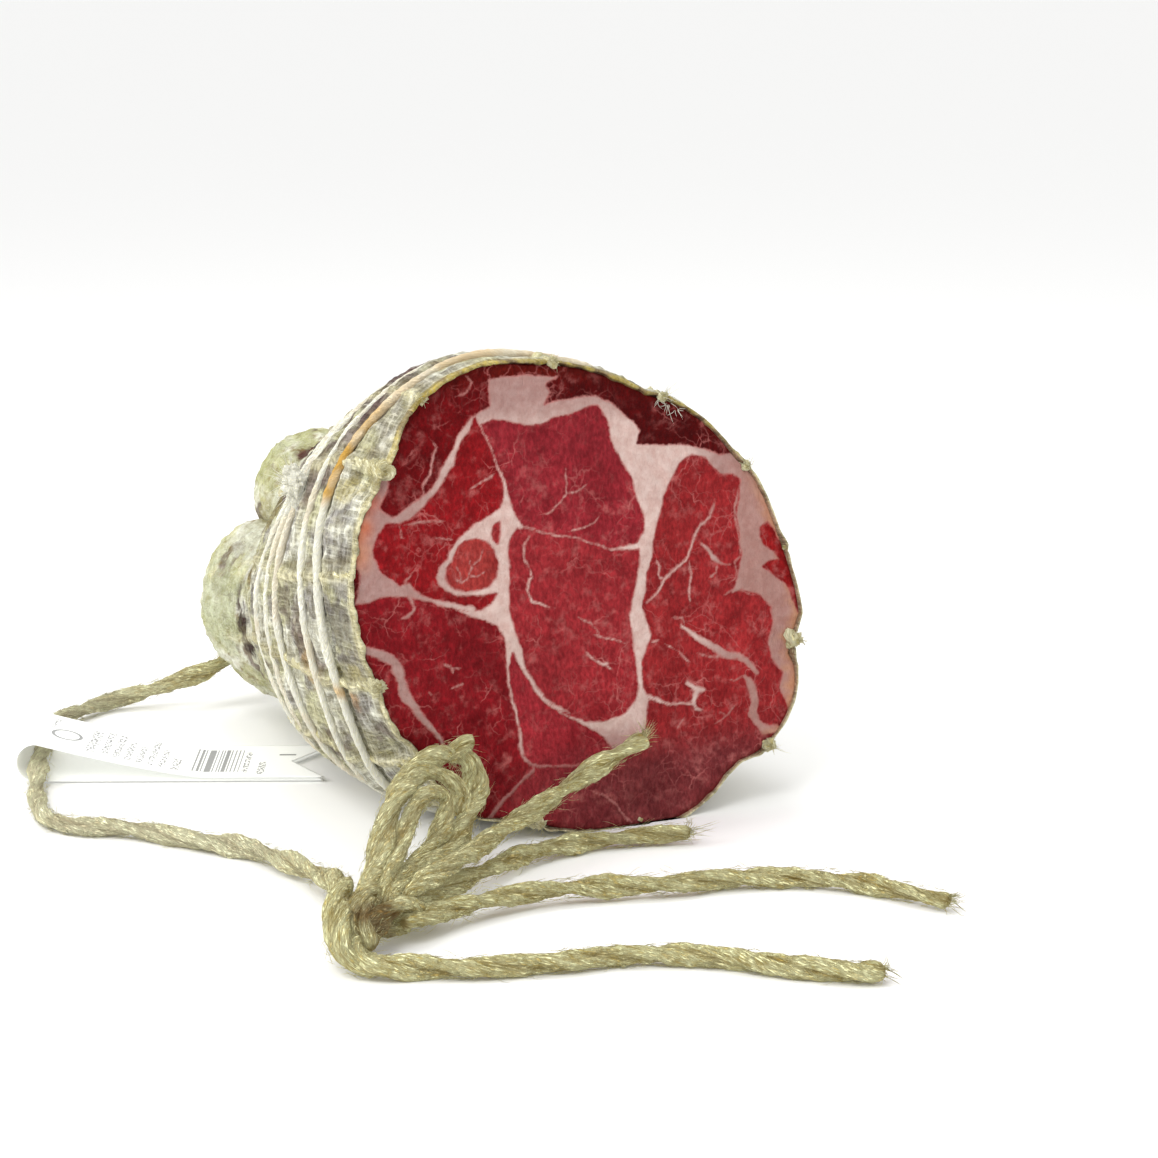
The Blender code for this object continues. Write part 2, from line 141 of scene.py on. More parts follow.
def ringValue(values, angle):
    # smooth closed curve through values at equal steps of angle
    values = np.asarray(values, float)
    at = (angle % 360.0) / 360.0 * len(values)
    i = np.floor(at).astype(int)
    return catmull(*[values[(i + k) % len(values)] for k in (-1, 0, 1, 2)], at - i)


def smoothRoute(points, step):
    # points about a step apart on one smooth curve through the route's own points
    nodes = np.asarray(points, float)
    last = len(nodes) - 1
    t = np.linspace(0.0, 1.0, 12, endpoint=False)[:, None]
    spans = [catmull(*[nodes[min(max(i + k, 0), last)] for k in (-1, 0, 1, 2)], t) for i in range(last)]
    fine = np.concatenate(spans + [nodes[-1:]])
    run = np.concatenate([[0.0], np.cumsum(np.linalg.norm(np.diff(fine, axis=0), axis=1))])
    at = np.linspace(0.0, run[-1], max(3, round(run[-1] / step)) + 1)
    return np.stack([np.interp(at, run, fine[:, k]) for k in range(fine.shape[1])], 1)


def routeLength(points):
    return float(np.linalg.norm(np.diff(points, axis=0), axis=1).sum())


def cloud(points, size, octaves=3, shift=0.0):
    # soft noise from about -1 to 1, with blobs of about the given size
    offset = Vector((shift, shift * 0.7, shift * 1.3))
    return np.array([noise.fractal(Vector(p) / size + offset, 1.0, 2.0, octaves) for p in points])


def newObject(name, bm, material):
    mesh = bpy.data.meshes.new(name)
    bm.to_mesh(mesh)
    bm.free()
    mesh.materials.append(material)
    mesh.shade_smooth()
    made = bpy.data.objects.new(name, mesh)
    bpy.context.scene.collection.objects.link(made)
    return made


def gridSkin(name, columns, rows, shape, material, closed=True, dropRows=(), back=None):
    # a grid mapped by shape(u, v), which gives points in mm and a dictionary of values for each point;
    # back is how far its edge is drawn back before the end is filled
    bm = bmesh.new()
    bmesh.ops.create_grid(bm, x_segments=columns, y_segments=rows, size=0.5)
    flat = np.array([v.co for v in bm.verts]) + 0.5
    points, values = shape(flat[:, 0], flat[:, 1])
    points[:, 2] = np.maximum(points[:, 2], floorGap)
    for vert, point in zip(bm.verts, place(points)):
        vert.co = point
    for label, numbers in values.items():
        numbers = np.asarray(numbers, float)
        if label.startswith("paint"):
            layer = bm.verts.layers.float_color.new(label)
            numbers = np.concatenate([np.clip(numbers, 0.0, 1.0), np.ones((len(numbers), 1))], 1)
        elif numbers.ndim == 2:
            layer = bm.verts.layers.float_vector.new(label)
        else:
            layer = bm.verts.layers.float.new(label)
        for vert, number in zip(bm.verts, numbers.tolist()):
            vert[layer] = number
    if dropRows:
        rowOf = np.rint(flat[:, 1] * rows).astype(int)
        bm.verts.index_update()
        loose = [f for f in bm.faces if min(rowOf[v.index] for v in f.verts) in dropRows]
        bmesh.ops.delete(bm, geom=loose, context="FACES_ONLY")
    bmesh.ops.remove_doubles(bm, verts=bm.verts, dist=weld)
    bmesh.ops.dissolve_degenerate(bm, dist=weld, edges=bm.edges)
    if back is not None:
        drawn = bmesh.ops.extrude_edge_only(bm, edges=[e for e in bm.edges if e.is_boundary])["geom"]
        moved = [v for v in drawn if isinstance(v, bmesh.types.BMVert)]
        bmesh.ops.translate(bm, verts=moved, vec=Vector(back) * mm)
    if closed:
        bmesh.ops.holes_fill(bm, edges=[e for e in bm.edges if e.is_boundary], sides=0)
    bmesh.ops.recalc_face_normals(bm, faces=bm.faces)
    return newObject(name, bm, material)


def pathFrames(points, closed):
    # two cross directions at each point of a path, carried along with no twist
    if closed:
        tangent = np.roll(points[:-1], -1, axis=0) - np.roll(points[:-1], 1, axis=0)
        tangent = np.concatenate([tangent, tangent[:1]])
    else:
        tangent = np.gradient(points, axis=0)
    tangent /= np.linalg.norm(tangent, axis=1)[:, None]
    side = np.cross(tangent[0], (0.0, 0.0, 1.0) if abs(tangent[0][2]) < 0.9 else (0.0, 1.0, 0.0))
    sides = []
    for t in tangent:
        side = side - t * side.dot(t)
        side = side / np.linalg.norm(side)
        sides.append(side)
    side = np.array(sides)
    rise = np.cross(tangent, side)
    if closed:
        gap = math.atan2(side[-1].dot(rise[0]), side[-1].dot(side[0]))
        turn = (-gap * np.linspace(0.0, 1.0, len(points)))[:, None]
        side, rise = side * np.cos(turn) + rise * np.sin(turn), rise * np.cos(turn) - side * np.sin(turn)
    return side, rise


def pliedSkin(name, points, spec, material, closed=False, turn=0.0, values=None):
    # a twisted strand swept along a path: round plies side by side, with fine ridges of fibre on each
    points = np.asarray(points, float)
    side, rise = pathFrames(points, closed)
    run = np.concatenate([[0.0], np.cumsum(np.linalg.norm(np.diff(points, axis=0), axis=1))])
    radius = spec["diameter"] / 2
    turns = run[-1] / spec["pitch"]
    if closed:
        turns = round(turns)
    step = 2 * math.pi / spec["plies"]
    wobble = cloud(points, spec["unevenSize"], 2, turn)
    if closed:
        wobble = wobble + (wobble[0] - wobble[-1]) * np.linspace(0.0, 1.0, len(points))
    taper = np.ones(len(points))
    ends = np.minimum(run, run[-1] - run) / radius
    if not closed:
        taper = np.sqrt(np.clip(1.0 - (1.0 - np.clip(ends / 0.5, 0.0, 1.0)) ** 2, 0.25, 1.0))

    def shape(u, v):
        i = np.rint(v * (len(points) - 1)).astype(int)
        theta = 2 * math.pi * u
        share = run[i] / run[-1]
        phi = theta - 2 * math.pi * turns * share + turn
        local = (phi + step / 2) % step - step / 2
        centre = spec["plyCentre"] * radius
        ply = spec["plyRadius"] * radius
        r = centre * np.cos(local) + np.sqrt(np.maximum(ply**2 - (centre * np.sin(local)) ** 2, 0.0))
        ridgeTurns = round(run[-1] / spec["ridgePitch"])
        ridge = np.cos(local * spec["ridges"] + 2 * math.pi * ridgeTurns * share)
        strands = np.stack([np.cos(phi) * radius, np.sin(phi) * radius, run[i] / spec["fibreLength"]], 1)
        r = r * (1.0 + spec["uneven"] * wobble[i]) + spec["ridgeHeight"] * ridge
        r = (r + spec["fibreHeight"] * cloud(strands, spec["fibreSize"], 3, turn)) * taper[i]
        out = points[i] + r[:, None] * (np.cos(theta)[:, None] * side[i] + np.sin(theta)[:, None] * rise[i])
        fibre = np.stack([np.cos(phi) * radius, np.sin(phi) * radius, run[i]], 1)
        found = {"fibre": fibre, "hollow": 1.0 - r / (centre + ply)}
        if values:
            found.update(values(share, out))
        return out, found

    return gridSkin(name, spec["around"], len(points) - 1, shape, material, closed=not closed)


def hairSkin(name, lines, radius, material):
    # many thin hairs in one mesh: each is a three-sided spindle along its own line
    lines = np.asarray(lines, float)
    count, knots = lines.shape[:2]
    share = np.linspace(0.0, 1.0, knots)
    width = radius * (1.0 - share) ** 0.5
    width[0] = 0.0
    along = np.gradient(lines, axis=1)
    along /= np.maximum(np.linalg.norm(along, axis=2), 1e-9)[:, :, None]
    side = np.cross(along, (0.31, 0.52, 0.79))
    side /= np.maximum(np.linalg.norm(side, axis=2), 1e-9)[:, :, None]
    rise = np.cross(along, side)

    def shape(u, v):
        row = np.rint(v * (count * knots - 1)).astype(int)
        hair, knot = row // knots, row % knots
        theta = 2 * math.pi * u
        ring = np.cos(theta)[:, None] * side[hair, knot] + np.sin(theta)[:, None] * rise[hair, knot]
        out = lines[hair, knot] + ring * width[knot][:, None]
        return out, {"fibre": out, "hollow": np.zeros(len(out))}

    drop = {knots * (k + 1) - 1 for k in range(count - 1)}
    return gridSkin(name, 3, count * knots - 1, shape, material, closed=False, dropRows=drop)


def joined(name, parts):
    # several finished pieces in one object
    with bpy.context.temp_override(active_object=parts[0], selected_editable_objects=parts):
        bpy.ops.object.join()
    parts[0].name = name
    return parts[0]


# Small tools for materials

def node(tree, kind, inputs=None, **settings):
    made = tree.nodes.new(kind)
    for key, value in settings.items():
        setattr(made, key, value)
    for key, value in (inputs or {}).items():
        if isinstance(value, bpy.types.NodeSocket):
            tree.links.new(value, made.inputs[key])
        else:
            made.inputs[key].default_value = value
    return made


def newGroup(name, inputs, output):
    group = bpy.data.node_groups.new(name, "ShaderNodeTree")
    for label, kind, value in inputs:
        socket = group.interface.new_socket(name=label, in_out="INPUT", socket_type=kind)
        if value is not None:
            socket.default_value = value
    group.interface.new_socket(name=output, in_out="OUTPUT", socket_type="NodeSocketFloat")
    return group, group.nodes.new("NodeGroupInput").outputs, group.nodes.new("NodeGroupOutput").inputs


def grainGroup():
    # cloudy noise stretched to a 0 to 1 mask between two levels
    group, given, result = newGroup("grain", [
        ("Vector", "NodeSocketVector", None), ("Scale", "NodeSocketFloat", 100.0),
        ("Detail", "NodeSocketFloat", 4.0), ("Low", "NodeSocketFloat", 0.3), ("High", "NodeSocketFloat", 0.7),
    ], "Value")
    soft = node(group, "ShaderNodeTexNoise", {"Vector": given["Vector"], "Scale": given["Scale"],
                                              "Detail": given["Detail"], "Roughness": 0.6})
    level = node(group, "ShaderNodeMapRange", {"Value": soft.outputs[0], "From Min": given["Low"],
                                               "From Max": given["High"]}, interpolation_type="SMOOTHSTEP")
    group.links.new(level.outputs["Result"], result["Value"])
    return group


def veinGroup():
    # thin branching lines: warped cell edges, broken up by a cloudy mask
    group, given, result = newGroup("veins", [
        ("Vector", "NodeSocketVector", None), ("Scale", "NodeSocketFloat", 100.0),
        ("Width", "NodeSocketFloat", 0.03), ("Warp", "NodeSocketFloat", 0.004), ("Cover", "NodeSocketFloat", 0.5),
    ], "Value")
    bend = node(group, "ShaderNodeTexNoise", {"Vector": given["Vector"], "Scale": 320.0, "Detail": 4.0})
    centred = node(group, "ShaderNodeVectorMath", {0: bend.outputs["Color"], 1: (0.5, 0.5, 0.5)},
                   operation="SUBTRACT")
    scaled = node(group, "ShaderNodeVectorMath", {0: centred.outputs[0], "Scale": given["Warp"]},
                  operation="SCALE")
    moved = node(group, "ShaderNodeVectorMath", {0: given["Vector"], 1: scaled.outputs[0]}, operation="ADD")
    cells = node(group, "ShaderNodeTexVoronoi", {"Vector": moved.outputs[0], "Scale": given["Scale"]},
                 feature="DISTANCE_TO_EDGE")
    line = node(group, "ShaderNodeMapRange", {"Value": cells.outputs["Distance"], "From Min": 0.0,
                                              "From Max": given["Width"], "To Min": 1.0, "To Max": 0.0},
                interpolation_type="SMOOTHSTEP")
    soft = node(group, "ShaderNodeTexNoise", {"Vector": moved.outputs[0], "Scale": 140.0, "Detail": 3.0})
    above = node(group, "ShaderNodeMath", {0: soft.outputs[0], 1: given["Cover"]}, operation="SUBTRACT")
    mask = node(group, "ShaderNodeMath", {0: above.outputs[0], 1: 5.0}, operation="MULTIPLY", use_clamp=True)
    both = node(group, "ShaderNodeMath", {0: line.outputs["Result"], 1: mask.outputs[0]}, operation="MULTIPLY")
    group.links.new(both.outputs[0], result["Value"])
    return group


grain = grainGroup()
veins = veinGroup()


def grainOf(tree, vector, scale, low=0.3, high=0.7, detail=4.0):
    return node(tree, "ShaderNodeGroup", {"Vector": vector, "Scale": scale, "Detail": detail, "Low": low,
                                          "High": high}, node_tree=grain).outputs["Value"]


def veinsOf(tree, vector, scale, width, warp, cover):
    return node(tree, "ShaderNodeGroup", {"Vector": vector, "Scale": scale, "Width": width, "Warp": warp,
                                          "Cover": cover}, node_tree=veins).outputs["Value"]


def newMaterial(name):
    material = bpy.data.materials.new(name)
    material.use_nodes = True
    return material, material.node_tree, material.node_tree.nodes["Principled BSDF"]


def colour(red, green, blue):
    return (*linear(red, green, blue).tolist(), 1.0)


def attribute(tree, name):
    return node(tree, "ShaderNodeAttribute", attribute_name=name).outputs


def stretched(tree, vector, scale):
    return node(tree, "ShaderNodeMapping", {"Vector": vector, "Scale": scale}).outputs["Vector"]


def blend(tree, factor, a, b, how="MIX"):
    return node(tree, "ShaderNodeMix", {0: factor, 6: a, 7: b}, data_type="RGBA", blend_type=how).outputs[2]


def maths(tree, how, a, b, **settings):
    return node(tree, "ShaderNodeMath", {0: a, 1: b}, operation=how, **settings).outputs[0]


def bump(tree, surface, height, distance):
    made = node(tree, "ShaderNodeBump", {"Height": height, "Distance": distance, "Strength": 1.0})
    tree.links.new(made.outputs["Normal"], surface.inputs["Normal"])


# Twisted strands: jute rope and cotton twine

jute = {
    "strand": {
        "diameter": 4.5, "plies": 2, "pitch": 40.0, "plyCentre": 0.36, "plyRadius": 0.66, "around": 52,
        "unevenSize": 7.0, "uneven": 0.27, "ridges": 5, "ridgePitch": 17.0, "ridgeHeight": 0.07,
        "fibreSize": 0.55, "fibreLength": 7.0, "fibreHeight": 0.45,
    },
    "step": 0.7,
    "dark": (160, 130, 58),
    "middle": (250, 244, 168),
    "light": (255, 254, 206),
    "shade": (152, 124, 52),
    # the throat's brown is painted shade where the knot's strands go in
    "throatShade": (96, 60, 22),
    "throatCentre": (-70.5, -51.0, 7.0),
    "throatReach": (8.0, 8.0, 7.0),
    # painted highlight: how much the rope's far left run is whitened
    "bleach": 0.3,
    # painted light: how much of their own colour the strands give out, lifting their shade
    "glow": 0.1,
    "hairs": {  # for each cm of rope: how many, length, thickness, how far they stand off
        "lying": (44.0, (1.2, 3.6), 0.08, (0.0, 0.25)),
        "stray": (24.0, (0.8, 3.6), 0.05, (0.2, 1.0)),
    },
    "tip": 44,
    "tipRadius": 0.11,
}

twine = {
    "strand": {
        "diameter": 1.8, "plies": 3, "pitch": 9.0, "plyCentre": 0.2, "plyRadius": 0.8, "around": 15,
        "unevenSize": 4.0, "uneven": 0.2, "ridges": 3, "ridgePitch": 4.0, "ridgeHeight": 0.01,
        "fibreSize": 0.5, "fibreLength": 3.0, "fibreHeight": 0.12,
    },
    "step": 0.6,
    "lift": 0.45,
    "clean": (255, 254, 240),
    "shadow": (238, 232, 204),
    "stainAndShadeTint": (214, 164, 66),
    "frontDiameter": 2.1,
    "knotBehind": 36.0,
    "knotAngle": 151.5,
    "knotLift": 2.5,
    "fluff": 180,
    "fluffReach": (2.4, 5.2),
    "fluffRadius": 0.12,
}


def strandMaterial(name, dark, middle, light, slant, relief, glow=0.1, bleach=0.0, shade=None,
                   stainAndShadeTint=colour(*twine["stainAndShadeTint"])):
    # the emission share is painted light that lifts the strand's shade; the whitening share is a painted highlight
    # on the rope's far left run;
    # shade is the colour of long blotches; the last colour is what the stain attribute brings in: a twine stain,
    # painted shade at the jute knot's throat
    material, tree, surface = newMaterial(name)
    fibre = attribute(tree, "fibre")["Vector"]
    hollow = attribute(tree, "hollow")["Fac"]
    streaks = grainOf(tree, stretched(tree, fibre, (4.2, 4.2, slant)), 1.0, 0.38, 0.62, 5.0)
    spots = grainOf(tree, fibre, 0.3, 0.35, 0.65, 4.0)
    tone = blend(tree, streaks, dark, light)
    tone = blend(tree, 0.3, tone, middle)
    tone = blend(tree, maths(tree, "MULTIPLY", spots, 0.45), tone, light)
    # painted shade: the strand is darkened in the hollows between its plies
    depth = node(tree, "ShaderNodeMapRange", {"Value": hollow, "From Min": 0.2, "From Max": 0.6}).outputs["Result"]
    tone = blend(tree, maths(tree, "MULTIPLY", depth, 0.7), tone, dark)
    if shade:
        blotch = grainOf(tree, stretched(tree, fibre, (0.8, 0.8, 0.2)), 1.0, 0.46, 0.64, 5.0)
        tone = blend(tree, maths(tree, "MULTIPLY", blotch, 0.45), tone, shade)
    # a stain on the twine, and painted shade where the jute knot's strands go in
    tone = blend(tree, attribute(tree, "age")["Fac"], tone, stainAndShadeTint)
    # painted highlight: the far left run of the rope, towards the back, is whitened
    if bleach:
        where = node(tree, "ShaderNodeTexCoord").outputs["Object"]
        x, y, _ = node(tree, "ShaderNodeSeparateXYZ", {0: where}).outputs
        back = node(tree, "ShaderNodeMapRange", {"Value": y, "From Min": -0.112, "From Max": -0.06})
        left = node(tree, "ShaderNodeMapRange", {"Value": x, "From Min": -0.045, "From Max": -0.08})
        both = maths(tree, "MULTIPLY", back.outputs["Result"], left.outputs["Result"])
        tone = blend(tree, maths(tree, "MULTIPLY", both, bleach), tone, colour(255, 254, 238))
    tree.links.new(tone, surface.inputs["Base Color"])
    # painted light: the strand gives out its own colour, which lifts its shade
    tree.links.new(tone, surface.inputs["Emission Color"])
    surface.inputs["Emission Strength"].default_value = glow
    surface.inputs["Roughness"].default_value = 0.95
    surface.inputs["Specular IOR Level"].default_value = 0.05
    bump(tree, surface, streaks, relief)
    return material


def strayHairs(name, routes, spec, material, seed):
    # curved fibres on and off a strand, leaning along it; a route comes with its radius
    each, lengths, thickness, lifts = spec
    pick = random.Random(seed)
    lines = []
    for route, radius in routes:
        side, rise = pathFrames(route, False)
        for _ in range(round(routeLength(route) / 10.0 * each)):
            i = pick.randrange(1, len(route) - 2)
            turn = pick.uniform(0.0, 2 * math.pi)
            out = side[i] * math.cos(turn) + rise[i] * math.sin(turn)
            along = (route[i + 1] - route[i - 1]) * pick.choice((-1, 1))
            along = along / np.linalg.norm(along)
            length = pick.uniform(*lengths)
            lift = pick.uniform(*lifts)
            bend = np.cross(along, out) * pick.uniform(-0.4, 0.4)
            t = np.linspace(0.0, 1.0, 5)[:, None]
            start = route[i] + out * radius * pick.uniform(0.86, 1.04)
            line = start + length * (along * t + out * lift * t * (1.0 - 0.35 * t) + bend * t * t)
            line[:, 2] = np.maximum(line[:, 2], hairGap)
            lines.append(line)
    return hairSkin(name, lines, thickness, material)


def fluffLines(centre, count, reach, lean, spread, seed):
    # frayed fibres from one place, bundled round a few directions
    pick = random.Random(seed)
    lines = []
    for k in range(count):
        heading = np.array(lean[k % len(lean)], float)
        out = heading / np.linalg.norm(heading) + np.array([pick.gauss(0.0, spread) for _ in range(3)])
        out /= np.linalg.norm(out)
        bend = np.array([pick.gauss(0.0, 0.45) for _ in range(3)])
        t = np.linspace(0.0, 1.0, 6)[:, None]
        line = centre + out * 0.6 + pick.uniform(*reach) * (out * t + bend * t * t)
        line[:, 2] = np.maximum(line[:, 2], hairGap)
        lines.append(line)
    return lines


# The hanging rope: the same routes as the solids'

mainRoute = (
    (-7.0, 143.0, 30.0), (-12.5, 145.5, 25.5), (-23.0, 145.5, 18.5), (-33.0, 142.0, 13.5), (-42.0, 138.0, 10.6),
    (-50.5, 139.5, 8.0), (-58.0, 143.5, 5.0), (-68.0, 145.5, 2.8), (-77.0, 141.0, 2.6), (-86.0, 132.0, 3.3),
    (-90.5, 121.0, 3.5), (-95.8, 110.0, 3.5), (-101.2, 95.5, 3.5), (-105.2, 82.0, 2.8), (-108.0, 71.0, 2.4),
    (-109.5, 59.0, 2.4), (-105.5, 50.0, 2.4), (-95.0, 42.5, 2.4), (-86.0, 31.0, 2.4), (-77.6, 20.3, 2.6),
    (-73.3, 12.4, 3.0), (-70.4, 0.9, 3.6), (-68.7, -10.3, 4.6), (-68.9, -22.9, 6.0), (-70.6, -34.0, 6.8),
)

endRoutes = {
    "rope_end_a": (
        (-62.0, -45.5, 9.0), (-57.2, -41.6, 9.9), (-53.5, -38.8, 10.1), (-50.0, -36.3, 10.2), (-46.0, -33.2, 10.1),
        (-37.0, -25.8, 10.0), (-27.0, -18.5, 10.8), (-16.5, -12.8, 12.4), (-7.0, -9.0, 15.0), (1.9, -7.0, 18.2),
        (8.8, -6.0, 20.6), (14.5, -5.2, 22.4),
    ),
    "rope_end_b": (
        (-62.0, -43.5, 3.8), (-57.0, -39.4, 3.6), (-53.0, -35.9, 3.6), (-47.8, -31.6, 3.6), (-39.5, -26.4, 3.8),
        (-29.8, -21.4, 3.8), (-19.6, -15.6, 3.2), (-11.0, -13.2, 2.8), (-1.0, -12.9, 2.5), (8.5, -14.4, 2.5),
        (14.5, -16.6, 2.8), (19.0, -18.8, 3.2),
    ),
    "rope_end_c": (
        (-64.0, -49.0, 5.3), (-61.0, -48.0, 5.2), (-54.2, -45.3, 4.8), (-44.9, -42.1, 4.2), (-33.6, -40.3, 3.8),
        (-22.1, -40.9, 3.5), (-11.6, -44.0, 3.3), (1.2, -47.2, 3.0), (14.0, -48.7, 2.6), (25.2, -53.2, 2.4),
        (35.6, -61.1, 2.4), (42.3, -70.7, 2.4), (48.2, -81.1, 2.4),
    ),
    "rope_end_d": (
        (-74.5, -53.5, 4.6), (-77.5, -56.5, 4.0), (-76.5, -62.5, 3.2), (-69.5, -66.0, 2.6), (-62.3, -69.2, 2.4),
        (-53.1, -73.0, 2.4), (-41.2, -75.9, 2.4), (-29.0, -78.2, 2.4), (-17.8, -83.0, 2.4), (-8.3, -90.7, 2.4),
        (0.3, -99.7, 2.4), (8.2, -105.9, 2.4), (14.4, -109.0, 2.4),
    ),
}

bowRoutes = {
    "outer": (
        (-69.5, -44.0, 8.6), (-64.8, -34.0, 9.8), (-60.9, -29.0, 14.3), (-57.0, -23.5, 18.2), (-52.3, -18.0, 21.8),
        (-46.5, -12.5, 24.0), (-40.5, -8.0, 25.2), (-35.0, -4.8, 25.2), (-30.4, -4.0, 23.5), (-28.5, -4.5, 20.2),
        (-29.2, -7.0, 16.8), (-32.8, -12.0, 13.8), (-37.5, -18.0, 11.5), (-44.0, -25.0, 9.8), (-51.8, -31.0, 8.6),
        (-61.0, -37.4, 7.8), (-67.5, -42.5, 6.4),
    ),
    "inner": (
        (-66.5, -46.5, 8.2), (-61.6, -36.0, 10.0), (-56.8, -30.0, 14.0), (-53.1, -25.0, 17.0), (-49.5, -21.0, 19.6),
        (-45.5, -17.0, 20.5), (-41.4, -14.0, 20.0), (-39.3, -14.0, 17.8), (-40.6, -17.0, 15.5), (-43.7, -21.0, 13.3),
        (-48.7, -26.0, 11.5), (-54.3, -31.0, 9.9), (-61.0, -38.0, 8.4), (-71.5, -48.0, 6.8),
    ),
    "turn": (
        (-68.8, -21.0, 5.8), (-69.6, -27.0, 7.6), (-72.8, -37.0, 9.8), (-76.6, -45.5, 10.4), (-79.4, -51.5, 9.4),
        (-80.8, -55.5, 7.2), (-80.6, -58.2, 4.6), (-78.4, -60.4, 3.0), (-75.0, -62.6, 2.7),
    ),
    "throatHigh": (
        (-64.5, -38.0, 6.0), (-68.5, -42.5, 9.8), (-72.5, -48.0, 10.0), (-75.0, -53.5, 7.4), (-74.0, -57.0, 4.0),
    ),
    "throatLow": (
        (-58.5, -44.0, 6.4), (-64.5, -48.0, 8.6), (-70.0, -51.5, 8.0), (-75.0, -54.0, 5.6), (-78.5, -54.0, 3.4),
    ),
    "under": (
        (-60.0, -42.0, 3.2), (-66.0, -44.5, 3.4), (-71.5, -47.0, 3.6), (-76.5, -49.5, 4.6), (-78.8, -52.0, 6.0),
    ),
    "cross": (
        (-50.5, -17.5, 22.0), (-46.0, -13.0, 23.8), (-41.0, -10.2, 23.2), (-36.5, -9.4, 20.8), (-34.0, -10.6, 17.2),
        (-36.0, -14.5, 14.0),
    ),
    "nub": ((-36.0, -7.0, 24.6), (-33.0, -5.4, 26.0), (-30.4, -4.6, 27.0), (-28.4, -4.6, 26.6)),
}

bowWidths = {"outer": 5.6, "inner": 4.4, "turn": 5.4, "throatHigh": 5.2, "throatLow": 4.6, "under": 5.0,
             "cross": 4.0, "nub": 3.4}

step = jute["step"]
juteMaterial = strandMaterial("jute", colour(*jute["dark"]), colour(*jute["middle"]), colour(*jute["light"]), 0.6,
                              0.0009, jute["glow"], jute["bleach"], colour(*jute["shade"]), colour(*jute["throatShade"]))


def throatShadeShare(share, points):
    # painted shade: the knot is darkened to brown where its strands go in
    away = (points - jute["throatCentre"]) / jute["throatReach"]
    gap = np.linalg.norm(away, axis=1) + 0.4 * cloud(points, 4.0, 3, 4.0)
    return {"age": 0.8 * smoothStep(1.2, 0.4, gap)}


ropeLines = {"rope_main": smoothRoute(mainRoute, step)}
ropeLines.update({name: smoothRoute(route, step) for name, route in endRoutes.items()})
bowLines = [smoothRoute(route, step) for route in bowRoutes.values()]
ropes = {name: pliedSkin(name + "_rope", line, jute["strand"], juteMaterial, turn=1.3 * i)
         for i, (name, line) in enumerate(ropeLines.items())}
bow = joined("bow_knot", [pliedSkin("bow_strand", line, {**jute["strand"], "diameter": width}, juteMaterial,
                                    turn=0.9 * i, values=throatShadeShare)
                          for i, (line, width) in enumerate(zip(bowLines, bowWidths.values()))])
hairRoutes = [(line, jute["strand"]["diameter"] / 2) for line in ropeLines.values()]
hairRoutes += [(line, width / 2) for line, width in zip(bowLines, bowWidths.values())]
ropeHair = [strayHairs("rope_fibres_" + name, hairRoutes, spec, juteMaterial, 7)
            for name, spec in jute["hairs"].items()]
tips = []
for k, name in enumerate(endRoutes):
    tip, ahead = ropeLines[name][-1], ropeLines[name][-1] - ropeLines[name][-5]
    ahead /= np.linalg.norm(ahead)
    lean = [ahead + offset for offset in ((0.0, 0.0, 0.0), (0.0, 0.25, 0.2), (0.1, -0.3, -0.1))]
    for shift in ((0.0, 0.0, 0.8), (0.9, 0.9, 0.0), (-0.8, -0.9, -0.4)):
        tips += fluffLines(tip - ahead * 2.0 + np.array(shift), jute["tip"] // 3, (2.0, 4.6), lean, 0.16, 40 + k)
ropeHair.append(hairSkin("rope_tips", tips, jute["tipRadius"], juteMaterial))
print("scene: ropes", {name: round(routeLength(line)) for name, line in ropeLines.items()})


# Twine round the casing and the half's form, the same as the solid's

form = {
    "faceHalf": (57.0, 54.5),
    "faceCentre": (3.0, 54.5),
    "faceRadii": (56.2, 52.9, 51.1, 49.9, 53.8, 60.0, 60.3, 58.0, 55.7, 53.8, 54.5, 53.8, 54.8, 60.1, 61.4, 61.8),
    "faceFade": (5.0, 80.0),
    "sections": (  # distance behind the face, half width, half height, lift
        (0.0, 57.0, 54.5, 0.0), (14.0, 57.6, 54.0, -0.4), (30.0, 57.0, 52.4, -0.6), (46.0, 54.6, 50.0, -0.6),
        (62.0, 51.2, 47.0, -0.5), (78.0, 47.6, 43.8, -0.3), (92.0, 44.8, 40.0, 0.2), (102.0, 44.0, 38.0, 0.6),
        (112.0, 45.4, 38.6, 0.3), (122.0, 44.4, 37.6, 0.8), (131.0, 36.0, 31.0, 5.0), (136.5, 20.0, 18.0, 16.0),
        (136.5, 10.0, 9.0, 24.0), (132.0, 3.0, 3.0, 30.0),
    ),
    "drift": math.tan(math.radians(4.0)),
    "sagAngles": (226.0, 314.0),
    "sagSpread": 26.0,
    "sagDepth": 5.0,
    "sagRange": (2.0, 26.0, 60.0, 104.0),
    "creaseAngles": (40.0, 88.0, 151.0, 260.0, 303.0, 350.0),
    "creaseDepths": (10.0, 9.0, 18.0, 11.0, 10.0, 10.0),
    "lobeGrowth": ((0.0, 0.0), (4.4, -4.4), (-1.8, 4.8), (0.0, 0.0), (-1.0, -1.0), (1.0, 1.0)),
    "creaseRange": (67.0, 118.0),
    "creaseSharpness": 0.65,
    "stringAngles": (8.0, 33.8, 62.9, 93.2, 128.5, 146.6, 170.0, 194.0, 216.9, 237.0, 258.0, 285.0, 318.0, 342.3),
}

